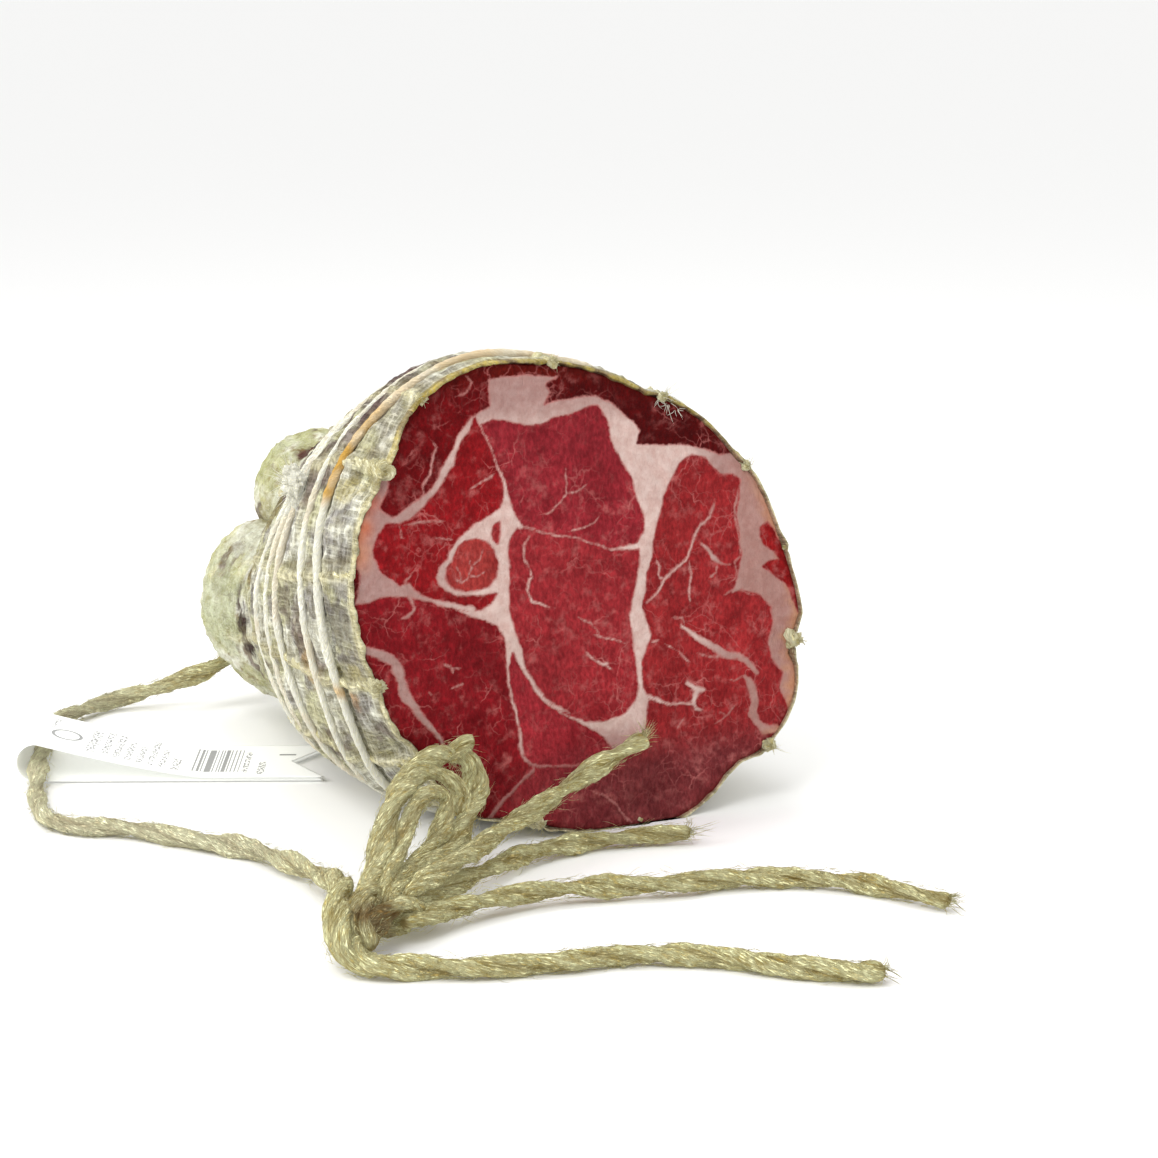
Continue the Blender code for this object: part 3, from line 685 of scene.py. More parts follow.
wraps = (  # how far behind the face each wrap of twine runs, at every 30 degrees from the right side
    (17.0, 14.0, 9.0, 6.8, 10.5, 17.0, 15.0, 16.5, 22.0, 26.0, 24.0, 20.0),
    (29.0, 28.0, 26.0, 24.0, 22.0, 25.5, 24.5, 26.0, 31.0, 33.0, 32.0, 30.0),
    (39.0, 39.0, 38.0, 37.0, 36.0, 37.0, 45.0, 44.5, 41.0, 40.0, 40.0, 39.5),
    (46.5, 46.5, 46.0, 44.5, 42.0, 41.5, 54.0, 55.0, 49.0, 47.0, 47.0, 46.5),
    (56.0, 56.0, 56.0, 54.0, 50.0, 46.5, 66.0, 63.0, 57.0, 54.0, 55.0, 56.0),
)


def sectionRow(at):
    rows = np.array(form["sections"])
    i = np.clip(at.astype(int), 0, len(rows) - 2)
    near = [rows[np.clip(i + k, 0, len(rows) - 1)] for k in (-1, 0, 1, 2)]
    return catmull(*near, (at - i)[:, None])


def placeOf(distance):
    places = np.linspace(0.0, 10.0, 201)
    return np.interp(distance, sectionRow(places)[:, 0], places)


def angleTo(angle, others):
    return np.min([np.abs((angle - other + 180.0) % 360.0 - 180.0) for other in others], axis=0)


def lobes(angle):
    edges = np.array(form["creaseAngles"] + (form["creaseAngles"][0] + 360.0,))
    depths = np.array(form["creaseDepths"] + form["creaseDepths"][:1])
    growth = np.array(form["lobeGrowth"])
    angle = (angle - edges[0]) % 360.0 + edges[0]
    i = np.clip(np.searchsorted(edges, angle, side="right") - 1, 0, len(growth) - 1)
    t = (angle - edges[i]) / (edges[i + 1] - edges[i])
    fullness = np.maximum(np.sin(math.pi * t), 0.0) ** form["creaseSharpness"]
    depth = depths[i] + (depths[i + 1] - depths[i]) * t
    grow = growth[i, 0] + (growth[i, 1] - growth[i, 0]) * t
    return grow * fullness - depth * (1.0 - fullness), fullness


def skinPoint(at, angle):
    # point of the casing, the direction from it to the middle of its section, and how far behind the face it is
    distance, halfWidth, halfHeight, lift = sectionRow(at).T
    a = np.radians(angle)
    tied = np.where(at > 9.0, 1.0, smoothStep(*form["creaseRange"], distance))
    wide, high = form["faceHalf"]
    faceRatio = ringValue(form["faceRadii"], angle) * np.hypot(high * np.cos(a), wide * np.sin(a)) / (wide * high)
    share = 1.0 - smoothStep(*form["faceFade"], distance)
    radius = halfWidth * halfHeight / np.hypot(halfHeight * np.cos(a), halfWidth * np.sin(a))
    radius = radius * (1.0 + (faceRatio - 1.0) * share)
    low, full, fade, end = form["sagRange"]
    sag = smoothStep(low, full, distance) * (1.0 - smoothStep(fade, end, distance))
    radius += form["sagDepth"] * sag * np.exp(-(angleTo(angle, form["sagAngles"]) / form["sagSpread"]) ** 2)
    radius += tied * halfWidth / wide * lobes(angle)[0]
    inward = np.stack([-np.cos(a), -np.sin(a) * math.sin(faceTilt), -np.sin(a) * math.cos(faceTilt)], 1)
    middle = np.stack([form["faceCentre"][0] - form["drift"] * distance,
                       distance + halfHeight * math.sin(faceTilt), lift + halfHeight], 1)
    return middle - inward * radius[:, None], inward, distance, tied


# The cut face: outlines and seams drawn on it, across and up

cut = {
    "drawnScale": 0.9,  # outline and muscles were drawn with the cut 127 mm wide, the fine seams at full size
    "outline": (
        (-20, 122.5), (-10, 122), (0, 121), (10, 118.5), (16, 116), (24, 112), (34, 108), (40, 104), (46, 98),
        (50, 93), (55, 88), (59, 80), (62, 72), (65, 63), (67, 56), (68, 50), (66, 45), (63, 42),
        (66, 36), (66, 31),
        (65, 27), (62, 21), (58, 17), (54, 14), (48, 12), (44, 9), (40, 5), (34, 1), (28, -1.5), (20, -1.5),
        (10, -0.5), (0, 0), (-8, 2), (-12, 4), (-22, 6), (-30, 8), (-36, 13), (-42, 22), (-44, 27), (-49, 32),
        (-52, 38), (-53, 44), (-56, 50), (-58, 57), (-59, 65), (-59, 70), (-58, 77), (-57, 83), (-54, 90),
        (-51.5, 93), (-46, 103), (-44, 108), (-41, 112), (-36, 116.5), (-30, 120), (-25, 121.5),
    ),
    "cells": 290,
    "rimWidth": 1.0,
    "depth": 6.0,
}

# each muscle: its colour, then its outline
muscles = {
    "topLeft": ((102, 8, 13), (
        (-20, 119), (-20, 112), (-23, 110.5), (-26, 109), (-29, 105.5), (-30.5, 102), (-33, 99), (-35, 95),
        (-38, 91.5), (-42, 89.5), (-47, 87), (-50, 89), (-48, 93), (-46, 98), (-49, 103), (-47, 109), (-43, 115),
        (-36, 119), (-29, 122.5), (-21, 123))),
    "left": ((132, 20, 25), (
        (-24, 109), (-22, 104), (-19.5, 99), (-18, 94), (-17.5, 89), (-18.5, 86.5), (-21, 85), (-25.5, 83),
        (-28.5, 81), (-31, 79.2), (-32.8, 76.5), (-33.2, 74.5), (-35.3, 73.3), (-36.9, 70.7), (-36.6, 69),
        (-34.5, 66.6), (-31, 64.8), (-24.7, 64.2), (-20.6, 64.8), (-22.4, 62.4), (-24.5, 61.4), (-28, 61.4),
        (-33, 62.6), (-38, 65), (-42, 68), (-43, 70), (-46, 69.5), (-48.5, 71.5), (-51, 74), (-52.5, 77),
        (-52, 80), (-51, 82.5), (-48.5, 84.6), (-45, 84.7), (-42.2, 85.4), (-39.8, 87), (-36.3, 89.8), (-34.4, 92),
        (-31.5, 96), (-29, 100.5), (-27.8, 103), (-25.5, 106))),
    "eye": ((158, 56, 52), (
        (-28.1, 78.4), (-25.1, 78.6), (-22.4, 77.6), (-20.6, 75.5), (-19.6, 73), (-19.5, 70.5), (-20.2, 68.6),
        (-22.4, 67), (-25.3, 66.2), (-28.7, 66.2), (-31.2, 67), (-33, 68.6), (-33.6, 70.2), (-33.2, 72),
        (-31.6, 73.6), (-30.6, 75.4), (-30, 77.2))),
    "slit": ((146, 44, 46), (
        (-20.4, 81.5), (-19, 82.2), (-18.9, 79.9), (-19.3, 77.5), (-20.4, 78.2), (-20.8, 79.8))),
    "leftStrip": ((110, 14, 22), (
        (-58.5, 76), (-57.6, 74.7), (-56.9, 72.8), (-56.8, 70.6), (-57.4, 68.5), (-58.3, 66.4),
        (-61, 65), (-62, 72),
        (-61, 77))),
    "centreUpper": ((140, 38, 46), (
        (-19, 108), (-15, 107), (-10, 105.5), (-6, 105.5), (-2, 107), (4, 108.5), (10, 109.5), (12, 106), (13, 101),
        (15, 96), (18, 91), (20, 85), (21.5, 80), (21, 76), (19.5, 74), (12, 73), (6, 75.5), (0, 77.5), (-6, 79),
        (-12, 81), (-13, 83), (-15, 87), (-16, 91), (-17, 95), (-19, 100), (-21, 104), (-22, 107))),
    "centreLower": ((148, 42, 47), (
        (-14, 80.5), (-16, 77), (-16, 72), (-16.5, 66), (-16.5, 60), (-15.5, 55), (-13.5, 50), (-12.5, 45),
        (-10, 40), (-6, 35), (-2, 31.5), (3, 29.5), (9, 29), (14, 30), (17.5, 32.5), (18, 36), (17.5, 42), (17, 48),
        (16.5, 55), (18, 61), (19.5, 67), (20, 72), (12, 72), (6, 74.6), (0, 76.6), (-6, 78), (-11.5, 80))),
    "topRight": ((76, 4, 5), (
        (-4, 116), (-1, 117.5), (2, 120), (8, 121), (16, 119), (24, 115), (32, 112), (40, 107), (46, 101),
        (49, 94.5), (44.5, 94.5), (40, 97), (34, 98), (27, 98.5), (21, 99), (22, 102), (20, 105), (17, 107),
        (14, 110.5), (10, 112.5), (4, 112.5), (-1, 112), (-5, 111), (-3, 114))),
    "right": ((144, 38, 40), (
        (33, 93), (36, 94.5), (40, 94), (42, 91), (44, 89), (48, 88.5), (50, 87), (49.5, 83), (48.5, 78), (49, 72),
        (50, 68), (49, 65.5), (48, 61), (46, 57), (50, 58), (55, 56), (58, 52.5), (58.5, 48), (57, 43), (58, 38.5),
        (61, 35), (60, 31), (62.5, 25), (63, 20), (60, 8), (50, -6), (30, -8), (16, -8), (8, -8), (9, 6), (10, 19),
        (20, 22), (22, 32), (19.8, 36), (20, 42), (21.5, 46), (23, 49), (22, 53), (21, 57), (22, 60.5), (22.5, 65),
        (24, 69.5), (24.5, 74), (26, 79), (28.5, 85), (31, 90))),
    "topStrip": ((90, 16, 8), (
        (-30, 116.5), (-26, 117.6), (-20, 118.8), (-10, 118.9), (0, 118), (8, 117), (12, 120), (0, 125), (-22, 127),
        (-34, 122))),
    "redPatch": ((142, 22, 24), (
        (56, 74), (58, 75), (60, 72.5), (62.5, 68.5), (65, 63), (66.5, 57), (66.8, 51), (65.5, 54), (63.5, 58.5),
        (60, 61), (56.5, 63.5), (59, 64.5), (62, 65), (60, 67.5), (57, 69.5), (56, 72))),
    "lowerLeft": ((126, 22, 29), (
        (-58, 65.5), (-54, 66), (-50, 66.5), (-44, 66), (-40, 65), (-35, 62.5), (-30, 60.5), (-25, 58.5), (-21, 56),
        (-19, 53), (-18.7, 48), (-18.5, 42), (-17.5, 36), (-16.3, 30), (-16.5, 25), (-15.2, 21), (-12.6, 19),
        (-18, 14.8), (-24, 10), (-30, 4), (-44, 10), (-50, 26), (-58, 40), (-64, 56), (-62, 64))),
    "bottom": ((158, 44, 52), (
        (-16.5, 49), (-15, 46), (-13.5, 43), (-11, 38.5), (-7, 34), (-2, 30.5), (3, 27.5), (8, 24), (10, 20),
        (11, 12), (9.5, 4), (8, -8), (-14, -6), (-27, 3), (-22, 9.4), (-16.5, 14.2), (-11.2, 18.2),
        (-12.6, 20.6), (-14.5, 22.8), (-15, 28), (-15.7, 34), (-17, 40), (-17.3, 45))),
}

# fat seams and fine veins, at full size: widths from one end to the other, then the line
seams = (
    ((1.4, 1.2, 1.2, 1.6), ((-40, 60.6), (-37, 59.4), (-33, 57.6), (-28, 56), (-24, 55.3))),
    ((0.8, 0.5, 0.4), ((-29, 87.5), (-27.5, 88), (-27, 90), (-26.5, 92.5), (-25, 94), (-23.5, 95), (-22, 98.5))),
    ((0.6, 0.5), ((-34.5, 80.5), (-35, 84), (-33, 86.5), (-32.5, 89), (-32, 91), (-31, 92.5), (-33, 94.5))),
    ((0.5, 0.4), ((-26, 103), (-23, 104), (-22, 106), (-24, 108))),
    ((0.5, 0.3), ((-20, 94.5), (-19, 93.5), (-17, 92.5))),
    ((0.5, 0.4), ((-17, 85.5), (-21, 83.5), (-24, 82))),
    ((0.5, 0.5, 0.3), ((-40, 76), (-35, 76), (-30, 75.5))),
    ((0.5, 0.3), ((-41, 76), (-40.5, 73), (-39, 72.5))),
    ((0.4, 0.4), ((-33, 72), (-30, 71.8), (-28, 71.5))),
    ((0.9, 0.6), ((-40, 61), (-39, 59), (-38.5, 57), (-40, 55.5), (-42, 55))),
    ((0.8, 0.5), ((-40, 61), (-40, 63.5), (-38.5, 64.5))),
    ((0.5, 0.4), ((0.2, 85), (0.3, 81.5), (0, 79), (-2, 77), (-4, 75.5), (-6, 75))),
    ((0.5, 0.3), ((0, 79.5), (3, 79.5), (6, 81))),
    ((0.5, 0.3), ((0, 70.5), (4, 71), (7, 72), (8.5, 74))),
    ((0.7, 0.5, 0.8, 0.4), ((-9.5, 70.5), (-11, 68), (-11, 65), (-9.5, 63), (-9, 61), (-10, 60.5), (-10.5, 58),
                            (-9.5, 55.5), (-6, 54), (-3.5, 53.5))),
    ((0.5, 0.3), ((2, 50.5), (5, 48.5), (7, 46))),
    ((0.3, 0.5, 0.3), ((5, 46), (9, 45), (14, 43))),
    ((0.3, 0.6, 0.7, 0.9, 0.3), ((3, 43), (6, 40), (7.6, 38.9), (9.5, 39.2))),
    ((0.4, 0.6), ((8, 39), (10, 37.5))),
    ((0.8, 0.6, 0.7, 0.8, 0.5), ((20, 52), (22, 54), (24.5, 57), (27, 59), (30, 61), (32, 64), (33.5, 67.5),
                                 (34.5, 69), (37, 70.5), (38, 73), (38.5, 74.5))),
    ((0.6, 0.8, 1.5, 0.6, 0.4), ((34.5, 64.3), (36, 63), (37.5, 61), (39, 59.5), (42, 58.7))),
    ((0.6, 0.5), ((31, 61), (31.5, 57), (31, 53), (31, 50))),
    ((0.5, 0.4), ((22.5, 62), (23.5, 60), (23, 57.5), (24.5, 57))),
    ((0.5, 0.4), ((36, 56), (38, 57), (38.5, 59))),
    ((0.7, 0.5, 0.4), ((45.3, 78), (44.3, 75), (43.5, 72), (43.5, 69.5), (44, 66), (45, 62.5),
                       (44.8, 60.5), (43, 59),
                       (43.5, 57), (43, 55), (41, 54))),
    ((0.4, 0.4), ((40, 51.5), (42, 52.5), (45, 52.3), (48, 50.5))),
    ((1.0, 1.6, 2.2, 1.6, 1.0), ((28.5, 46), (30, 44.5), (32, 42.5), (34, 41.5), (37, 39.5),
                                 (39, 38.2), (41.5, 37.2),
                                 (43, 37), (45, 35.5), (47, 33.5), (48.2, 32))),
    ((0.4, 0.5), ((32, 39), (36, 37.5), (39, 37), (43, 36))),
    ((1.0, 2.4, 2.5, 2.2, 2.4), ((44.5, 31.5), (46, 30), (47, 28), (47.5, 25), (47, 22.5), (48, 20), (50, 18),
                                 (53, 18))),
    ((0.4, 0.5), ((40, 31.5), (42, 31), (44, 31.8))),
    ((1.4, 2.2, 1.0), ((29.5, 32), (32, 30), (34, 29.8))),
    ((2.2, 0.9, 0.6), ((32, 30), (31, 27.5), (31.5, 25.5), (33, 25))),
    ((0.9, 0.6, 0.9, 1.2), ((31, 26.5), (28, 27.5), (25, 27.3), (21, 29), (18, 30))),
    ((0.4, 0.3), ((-28.5, 62.5), (-26.5, 61.5), (-25, 62.5), (-24, 64.5), (-24.5, 67))),
    ((0.35, 0.25), ((-26.5, 61.5), (-26.8, 63.5), (-28, 65.5))),
    ((0.35, 0.25), ((-24.5, 63), (-22.5, 62.5), (-20.5, 63.5))),
    ((0.35, 0.25), ((-24, 65), (-22, 66.5), (-21, 68.5))),
    ((0.5, 0.3), ((20, 42.5), (22.5, 42.8))),
    ((0.4, 0.4), ((24, 42), (28, 39), (31, 36.5))),
    ((0.4, 0.5), ((26, 47.5), (29, 47.5), (29.5, 46))),
    ((0.5, 0.3), ((42.5, 25.5), (41, 24), (39, 22), (36, 21))),
    ((0.3, 0.3), ((38, 24), (39.5, 23))),
    ((0.3, 0.4), ((26, 21), (29, 24))),
    ((0.5, 0.7), ((3, 10), (6, 8.5), (10, 5), (12, 2), (13.5, 0.5))),
    ((2.2, 2.5, 2.2, 1.5, 0.8), ((-50, 48.5), (-46, 46.8), (-43.8, 45.5), (-42.5, 43), (-42, 40), (-41.5, 38),
                                 (-40, 35.5), (-38.5, 33), (-37, 31), (-35, 28.8), (-33.5, 27), (-33, 25.5))),
    ((0.9, 0.8, 0.6, 0.4), ((-12.5, 18.6), (-11.5, 18), (-10, 17.2), (-7, 16.6), (-3, 16.2), (0, 16), (4, 16))),
    ((0.9, 0.6, 0.9), ((-12.8, 43), (-11.5, 39.5), (-9, 35.5), (-6.5, 32.5), (-4, 30.2), (-1, 28.5))),
    ((0.5, 0.4), ((-32, 43.5), (-30, 42.5), (-29.5, 41))),
    ((0.4, 0.3), ((-30, 42.5), (-27.5, 42.3))),
    ((0.3, 0.4), ((-30.5, 38), (-27, 38.7))),
    ((0.4, 0.3), ((-36, 38), (-35, 37))),
)

fat = {
    "light": (208, 184, 176),
    "pale": (168, 136, 130),
    "outer": (168, 130, 122),
    "warm": (190, 140, 110),
    "thin": (172, 96, 92),
    "low": (150, 88, 90),
    "peach": (194, 128, 92),
    "stains": (((-48.0, 82.0), 2.6, (200, 96, 66)), ((-49.0, 76.0), 1.8, (190, 110, 80))),
    "blur": 0.3,
    "narrow": 0.2,  # how far the muscles reach into the drawn gaps
}


def faceOutline(angle):
    line = np.array(cut["outline"], float) * cut["drawnScale"] - form["faceCentre"]
    around = np.degrees(np.arctan2(line[:, 1], line[:, 0])) % 360.0
    order = np.argsort(around)
    drawn = np.interp(angle % 360.0, around[order], np.hypot(*line.T)[order], period=360.0)
    solid = ringValue(form["faceRadii"], angle)
    return np.clip(drawn, solid - 3.0, solid + 1.5)


def distanceToLine(points, line, closed=False):
    # distance to a line of points, and how far along it the nearest place is
    line = np.asarray(line, float)
    ends = np.roll(line, -1, axis=0) if closed else line[1:]
    starts = line if closed else line[:-1]
    best = np.full(len(points), 1e9)
    share = np.zeros(len(points))
    for i, (a, b) in enumerate(zip(starts, ends)):
        span = b - a
        t = np.clip((points - a) @ span / (span @ span), 0.0, 1.0)
        gap = np.hypot(*(points - a - t[:, None] * span).T)
        nearer = gap < best
        best = np.where(nearer, gap, best)
        share = np.where(nearer, (i + t) / len(starts), share)
    return best, share


def insideLine(points, line):
    x, y = points.T
    inside = np.zeros(len(points), bool)
    for (ax, ay), (bx, by) in zip(line, np.roll(line, -1, axis=0)):
        crosses = (ay > y) != (by > y)
        reach = (bx - ax) * (y - ay) / (by - ay if by != ay else 1e-9) + ax
        inside ^= crosses & (x < reach)
    return inside


def onFace(flat):
    return flat[:, :1] * np.array([1.0, 0.0, 0.0]) + flat[:, 1:] * faceUp


def musclesAt(drawn):
    # the colour of the nearest muscle, and how far outside its edge each point lies
    seam = np.full(len(drawn), 30.0)
    meat = np.zeros((len(drawn), 3))
    weight = np.full(len(drawn), 1e-6)
    for paint, line in muscles.values():
        line = np.array(line, float) * cut["drawnScale"]
        gap, _ = distanceToLine(drawn, line, closed=True)
        gap = np.where(insideLine(drawn, line), -gap, gap)
        seam = np.minimum(seam, gap)
        near = np.exp(-np.maximum(gap, 0.0) / 0.8) + 1e-6
        meat += near[:, None] * linear(*paint)
        weight += near
    return meat / weight[:, None], seam - fat["narrow"]


def withSeams(seam, drawn, worn):
    for width, line in seams:
        gap, share = distanceToLine(drawn, line)
        thick = np.interp(share, np.linspace(0.0, 1.0, len(width)), width) * (1.0 + 0.35 * worn)
        fade = 0.25 * smoothStep(0.35, 0.5, np.abs(share - 0.5)) * (np.max(width) < 1.0)
        seam = np.maximum(seam, thick / 2 - gap - fade)
    return seam


def fatColours(flat, rim, seam, wide, fine):
    x, y = flat.T
    paint = mix(np.tile(linear(*fat["pale"]), (len(flat), 1)), linear(*fat["light"]),
                smoothStep(-40.0, -20.0, x) * smoothStep(40.0, 30.0, x) * smoothStep(102.0, 92.0, y))
    paint = mix(paint, linear(*fat["outer"]), smoothStep(38.0, 48.0, x))
    paint = mix(paint, linear(*fat["warm"]), smoothStep(44.0, 56.0, x) * smoothStep(5.0, 0.5, rim + 2.0 * fine))
    peach = smoothStep(-46.0, -51.0, x + fine) * smoothStep(64.0, 70.0, y) * smoothStep(88.0, 84.0, y)
    paint = mix(paint, linear(*fat["peach"]), 0.75 * peach)
    paint = mix(paint, linear(*fat["low"]), 0.75 * smoothStep(26.0, 17.0, y) * smoothStep(44.0, 34.0, x))
    paint = mix(paint, linear(*fat["thin"]), 0.75 * smoothStep(0.5, 0.0, seam))
    paint = paint * (1.0 + 0.08 * wide + 0.07 * fine)[:, None]
    for spot, reach, tint in fat["stains"]:
        paint = mix(paint, linear(*tint), 0.8 * np.exp(-(np.hypot(*(flat - spot).T) / reach) ** 2))
    return paint


def cutShape(u, v):
    x, y = u * 2 - 1, v * 2 - 1
    across = x * np.sqrt(1 - y * y / 2)
    up = y * np.sqrt(1 - x * x / 2)
    angle = np.degrees(np.arctan2(up, across)) % 360.0
    reach = np.hypot(across, up)
    r = reach * (faceOutline(angle) - cut["rimWidth"] * 0.75)
    a = np.radians(angle)
    flat = np.stack([form["faceCentre"][0] + r * np.cos(a), form["faceCentre"][1] + r * np.sin(a)], 1)
    spots = np.concatenate([flat, np.zeros((len(flat), 1))], 1)
    bend = np.stack([cloud(spots, 5.0, 3, 3.0), cloud(spots, 5.0, 3, 9.0)], 1)
    drawn = flat + 0.45 * bend
    meat, seam = musclesAt(drawn)
    wide = cloud(spots, 16.0, 3, 20.0)
    fine = cloud(spots, 3.0, 3, 30.0)
    seam = withSeams(seam, drawn, cloud(spots, 3.0, 3, 35.0))
    meat = meat * (1.0 + 0.2 * wide + 0.16 * fine)[:, None]
    x, y = flat.T
    low = 1.0 - smoothStep(12.0, 24.0, y)
    meat = mix(meat, meat * 0.3 + linear(102, 52, 54) * 0.7, low * smoothStep(-24.0, 6.0, x))
    rim = faceOutline(angle) - r
    meat = mix(meat, linear(92, 22, 18), 0.75 * np.exp(-(rim / 1.6) ** 2))
    fatPaint = fatColours(flat, rim, seam, wide, fine)
    height = 0.5 * wide + 0.12 * fine + 0.12 * smoothStep(-0.4, 0.6, seam) - 0.5 * np.exp(-(rim / 1.5) ** 2)
    out = onFace(flat) + faceOut * height[:, None]
    dark = np.exp(-(np.hypot(flat[:, 0] - 14.0, (flat[:, 1] - 98.0) * 1.6) / 20.0) ** 2)
    marbling = np.clip(0.75 + 0.6 * wide - 0.6 * dark + 0.3 * smoothStep(16.0, 30.0, flat[:, 0]), 0.15, 1.0)
    return out, {"seam": seam, "marbling": marbling, "paintMeat": meat, "paintFat": fatPaint}


def cutMaterial():
    material, tree, surface = newMaterial("cut_meat")
    where = node(tree, "ShaderNodeTexCoord").outputs["Object"]
    ragged = grainOf(tree, where, 900.0, 0.2, 0.8, 4.0)
    edge = maths(tree, "SUBTRACT", ragged, 0.5)
    edge = maths(tree, "MULTIPLY", edge, 0.5)
    edge = maths(tree, "ADD", edge, attribute(tree, "seam")["Fac"])
    mask = node(tree, "ShaderNodeMapRange", {"Value": edge, "From Min": -fat["blur"], "From Max": fat["blur"]},
                interpolation_type="SMOOTHSTEP").outputs["Result"]
    strands = grainOf(tree, stretched(tree, where, (1.0, 1.0, 0.55)), 1300.0, 0.3, 0.7, 5.0)
    tint = attribute(tree, "paintMeat")["Color"]
    meat = blend(tree, 1.0, tint, blend(tree, strands, colour(218, 202, 206), (1.22, 1.2, 1.2, 1.0)), "MULTIPLY")
    clots = grainOf(tree, where, 170.0, 0.42, 0.72, 6.0)
    meat = blend(tree, maths(tree, "MULTIPLY", clots, 0.55), meat, colour(188, 138, 150), "MULTIPLY")
    fleck = grainOf(tree, where, 330.0, 0.5, 0.78, 8.0)
    richer = attribute(tree, "marbling")["Fac"]
    pink = colour(192, 112, 108)
    meat = blend(tree, maths(tree, "MULTIPLY", fleck, maths(tree, "MULTIPLY", richer, 0.62)), meat, pink)
    for scale, width, cover, strength in ((85.0, 0.022, 0.46, 0.65), (200.0, 0.045, 0.47, 0.42)):
        lines = veinsOf(tree, where, scale, width, 0.004, cover)
        meat = blend(tree, maths(tree, "MULTIPLY", lines, maths(tree, "MULTIPLY", richer, strength)), meat, pink)
    cloudy = blend(tree, grainOf(tree, where, 500.0, 0.3, 0.7, 5.0), colour(242, 228, 226), (1.04, 1.03, 1.03, 1.0))
    fatTone = blend(tree, 1.0, attribute(tree, "paintFat")["Color"], cloudy, "MULTIPLY")
    both = blend(tree, mask, meat, fatTone)
    tree.links.new(both, surface.inputs["Base Color"])
    gloss = node(tree, "ShaderNodeMapRange", {"Value": clots, "To Min": 0.28, "To Max": 0.46})
    tree.links.new(gloss.outputs["Result"], surface.inputs["Roughness"])
    surface.inputs["Specular IOR Level"].default_value = 0.05
    bump(tree, surface, maths(tree, "ADD", strands, maths(tree, "MULTIPLY", mask, 0.6)), 0.00022)
    return material


casingSize = {"columns": 420, "rows": 214, "rimRows": 5, "groove": 1.0, "grooveHalf": 1.7, "bulge": 0.8,
              "wrinkle": 0.45, "string": 0.8, "floorGap": 0.02}


# patches of mould and dry skin, two of them painted shade: middle, reach, strength, colour
patches = (
    ((-47.9, 50.5, 75.5), 11.0, 0.8, (234, 234, 222)),
    ((-23.4, 111.0, 72.8), 3.5, 0.95, (84, 22, 14)),
    ((-27.7, 126.4, 70.3), 10.0, 0.6, (186, 190, 128)),
    ((-37.6, 57.3, 86.4), 12.0, 0.95, (86, 58, 60)),
    ((-45.1, 45.5, 83.3), 8.0, 0.8, (104, 76, 74)),
    ((-30.0, 44.0, 100.0), 13.0, 0.9, (92, 62, 66)),
    ((-20.0, 36.0, 106.0), 9.0, 0.7, (122, 90, 88)),
    ((-41.0, 29.0, 90.0), 8.0, 0.8, (112, 86, 84)),
    ((-33.0, 26.0, 99.0), 8.0, 0.8, (108, 80, 80)),
    ((-44.0, 74.0, 66.0), 7.0, 0.8, (166, 152, 80)),
    ((-32.6, 116.9, 56.5), 6.0, 0.7, (176, 166, 88)),
    ((-38.1, 114.0, 51.6), 9.0, 0.6, (226, 228, 214)),
    ((-48.9, 84.8, 49.6), 4.5, 0.8, (150, 128, 60)),
    # painted shade over darker skin: two dark patches low on the left where the waist meets the rear lobe
    ((-47.3, 96.3, 31.0), 7.0, 1.0, (62, 36, 28)),
    ((-47.6, 101.0, 38.6), 4.0, 0.9, (84, 62, 52)),
    ((-48.6, 112.1, 35.4), 12.0, 0.7, (200, 206, 166)),
    ((-49.4, 66.0, 24.5), 8.0, 0.6, (196, 196, 150)),
    ((-53.8, 9.2, 65.8), 7.5, 0.8, (146, 140, 138)),
    ((-53.8, 12.1, 52.0), 7.0, 0.75, (140, 134, 130)),
    ((-51.8, 10.8, 43.2), 5.0, 0.6, (150, 142, 136)),
    ((-55.1, 32.2, 57.9), 8.0, 0.55, (150, 146, 138)),
    ((-54.5, 40.0, 52.0), 6.0, 0.6, (128, 112, 104)),
    ((-53.3, 31.1, 37.7), 4.5, 0.8, (190, 146, 78)),
    ((-49.2, 14.1, 34.6), 3.0, 0.7, (204, 148, 80)),
    ((-46.1, 16.1, 27.4), 9.0, 0.5, (158, 150, 142)),
    ((-42.0, 9.0, 94.0), 9.0, 0.6, (196, 190, 172)),
    ((-35.8, 17.4, 101.5), 8.0, 0.5, (206, 200, 176)),
    ((-46.0, 9.0, 86.3), 4.0, 0.8, (224, 212, 142)),
    ((-49.6, 16.9, 82.4), 4.0, 0.8, (214, 200, 130)),
    ((-51.7, 9.0, 41.4), 3.6, 0.8, (222, 210, 150)),
)


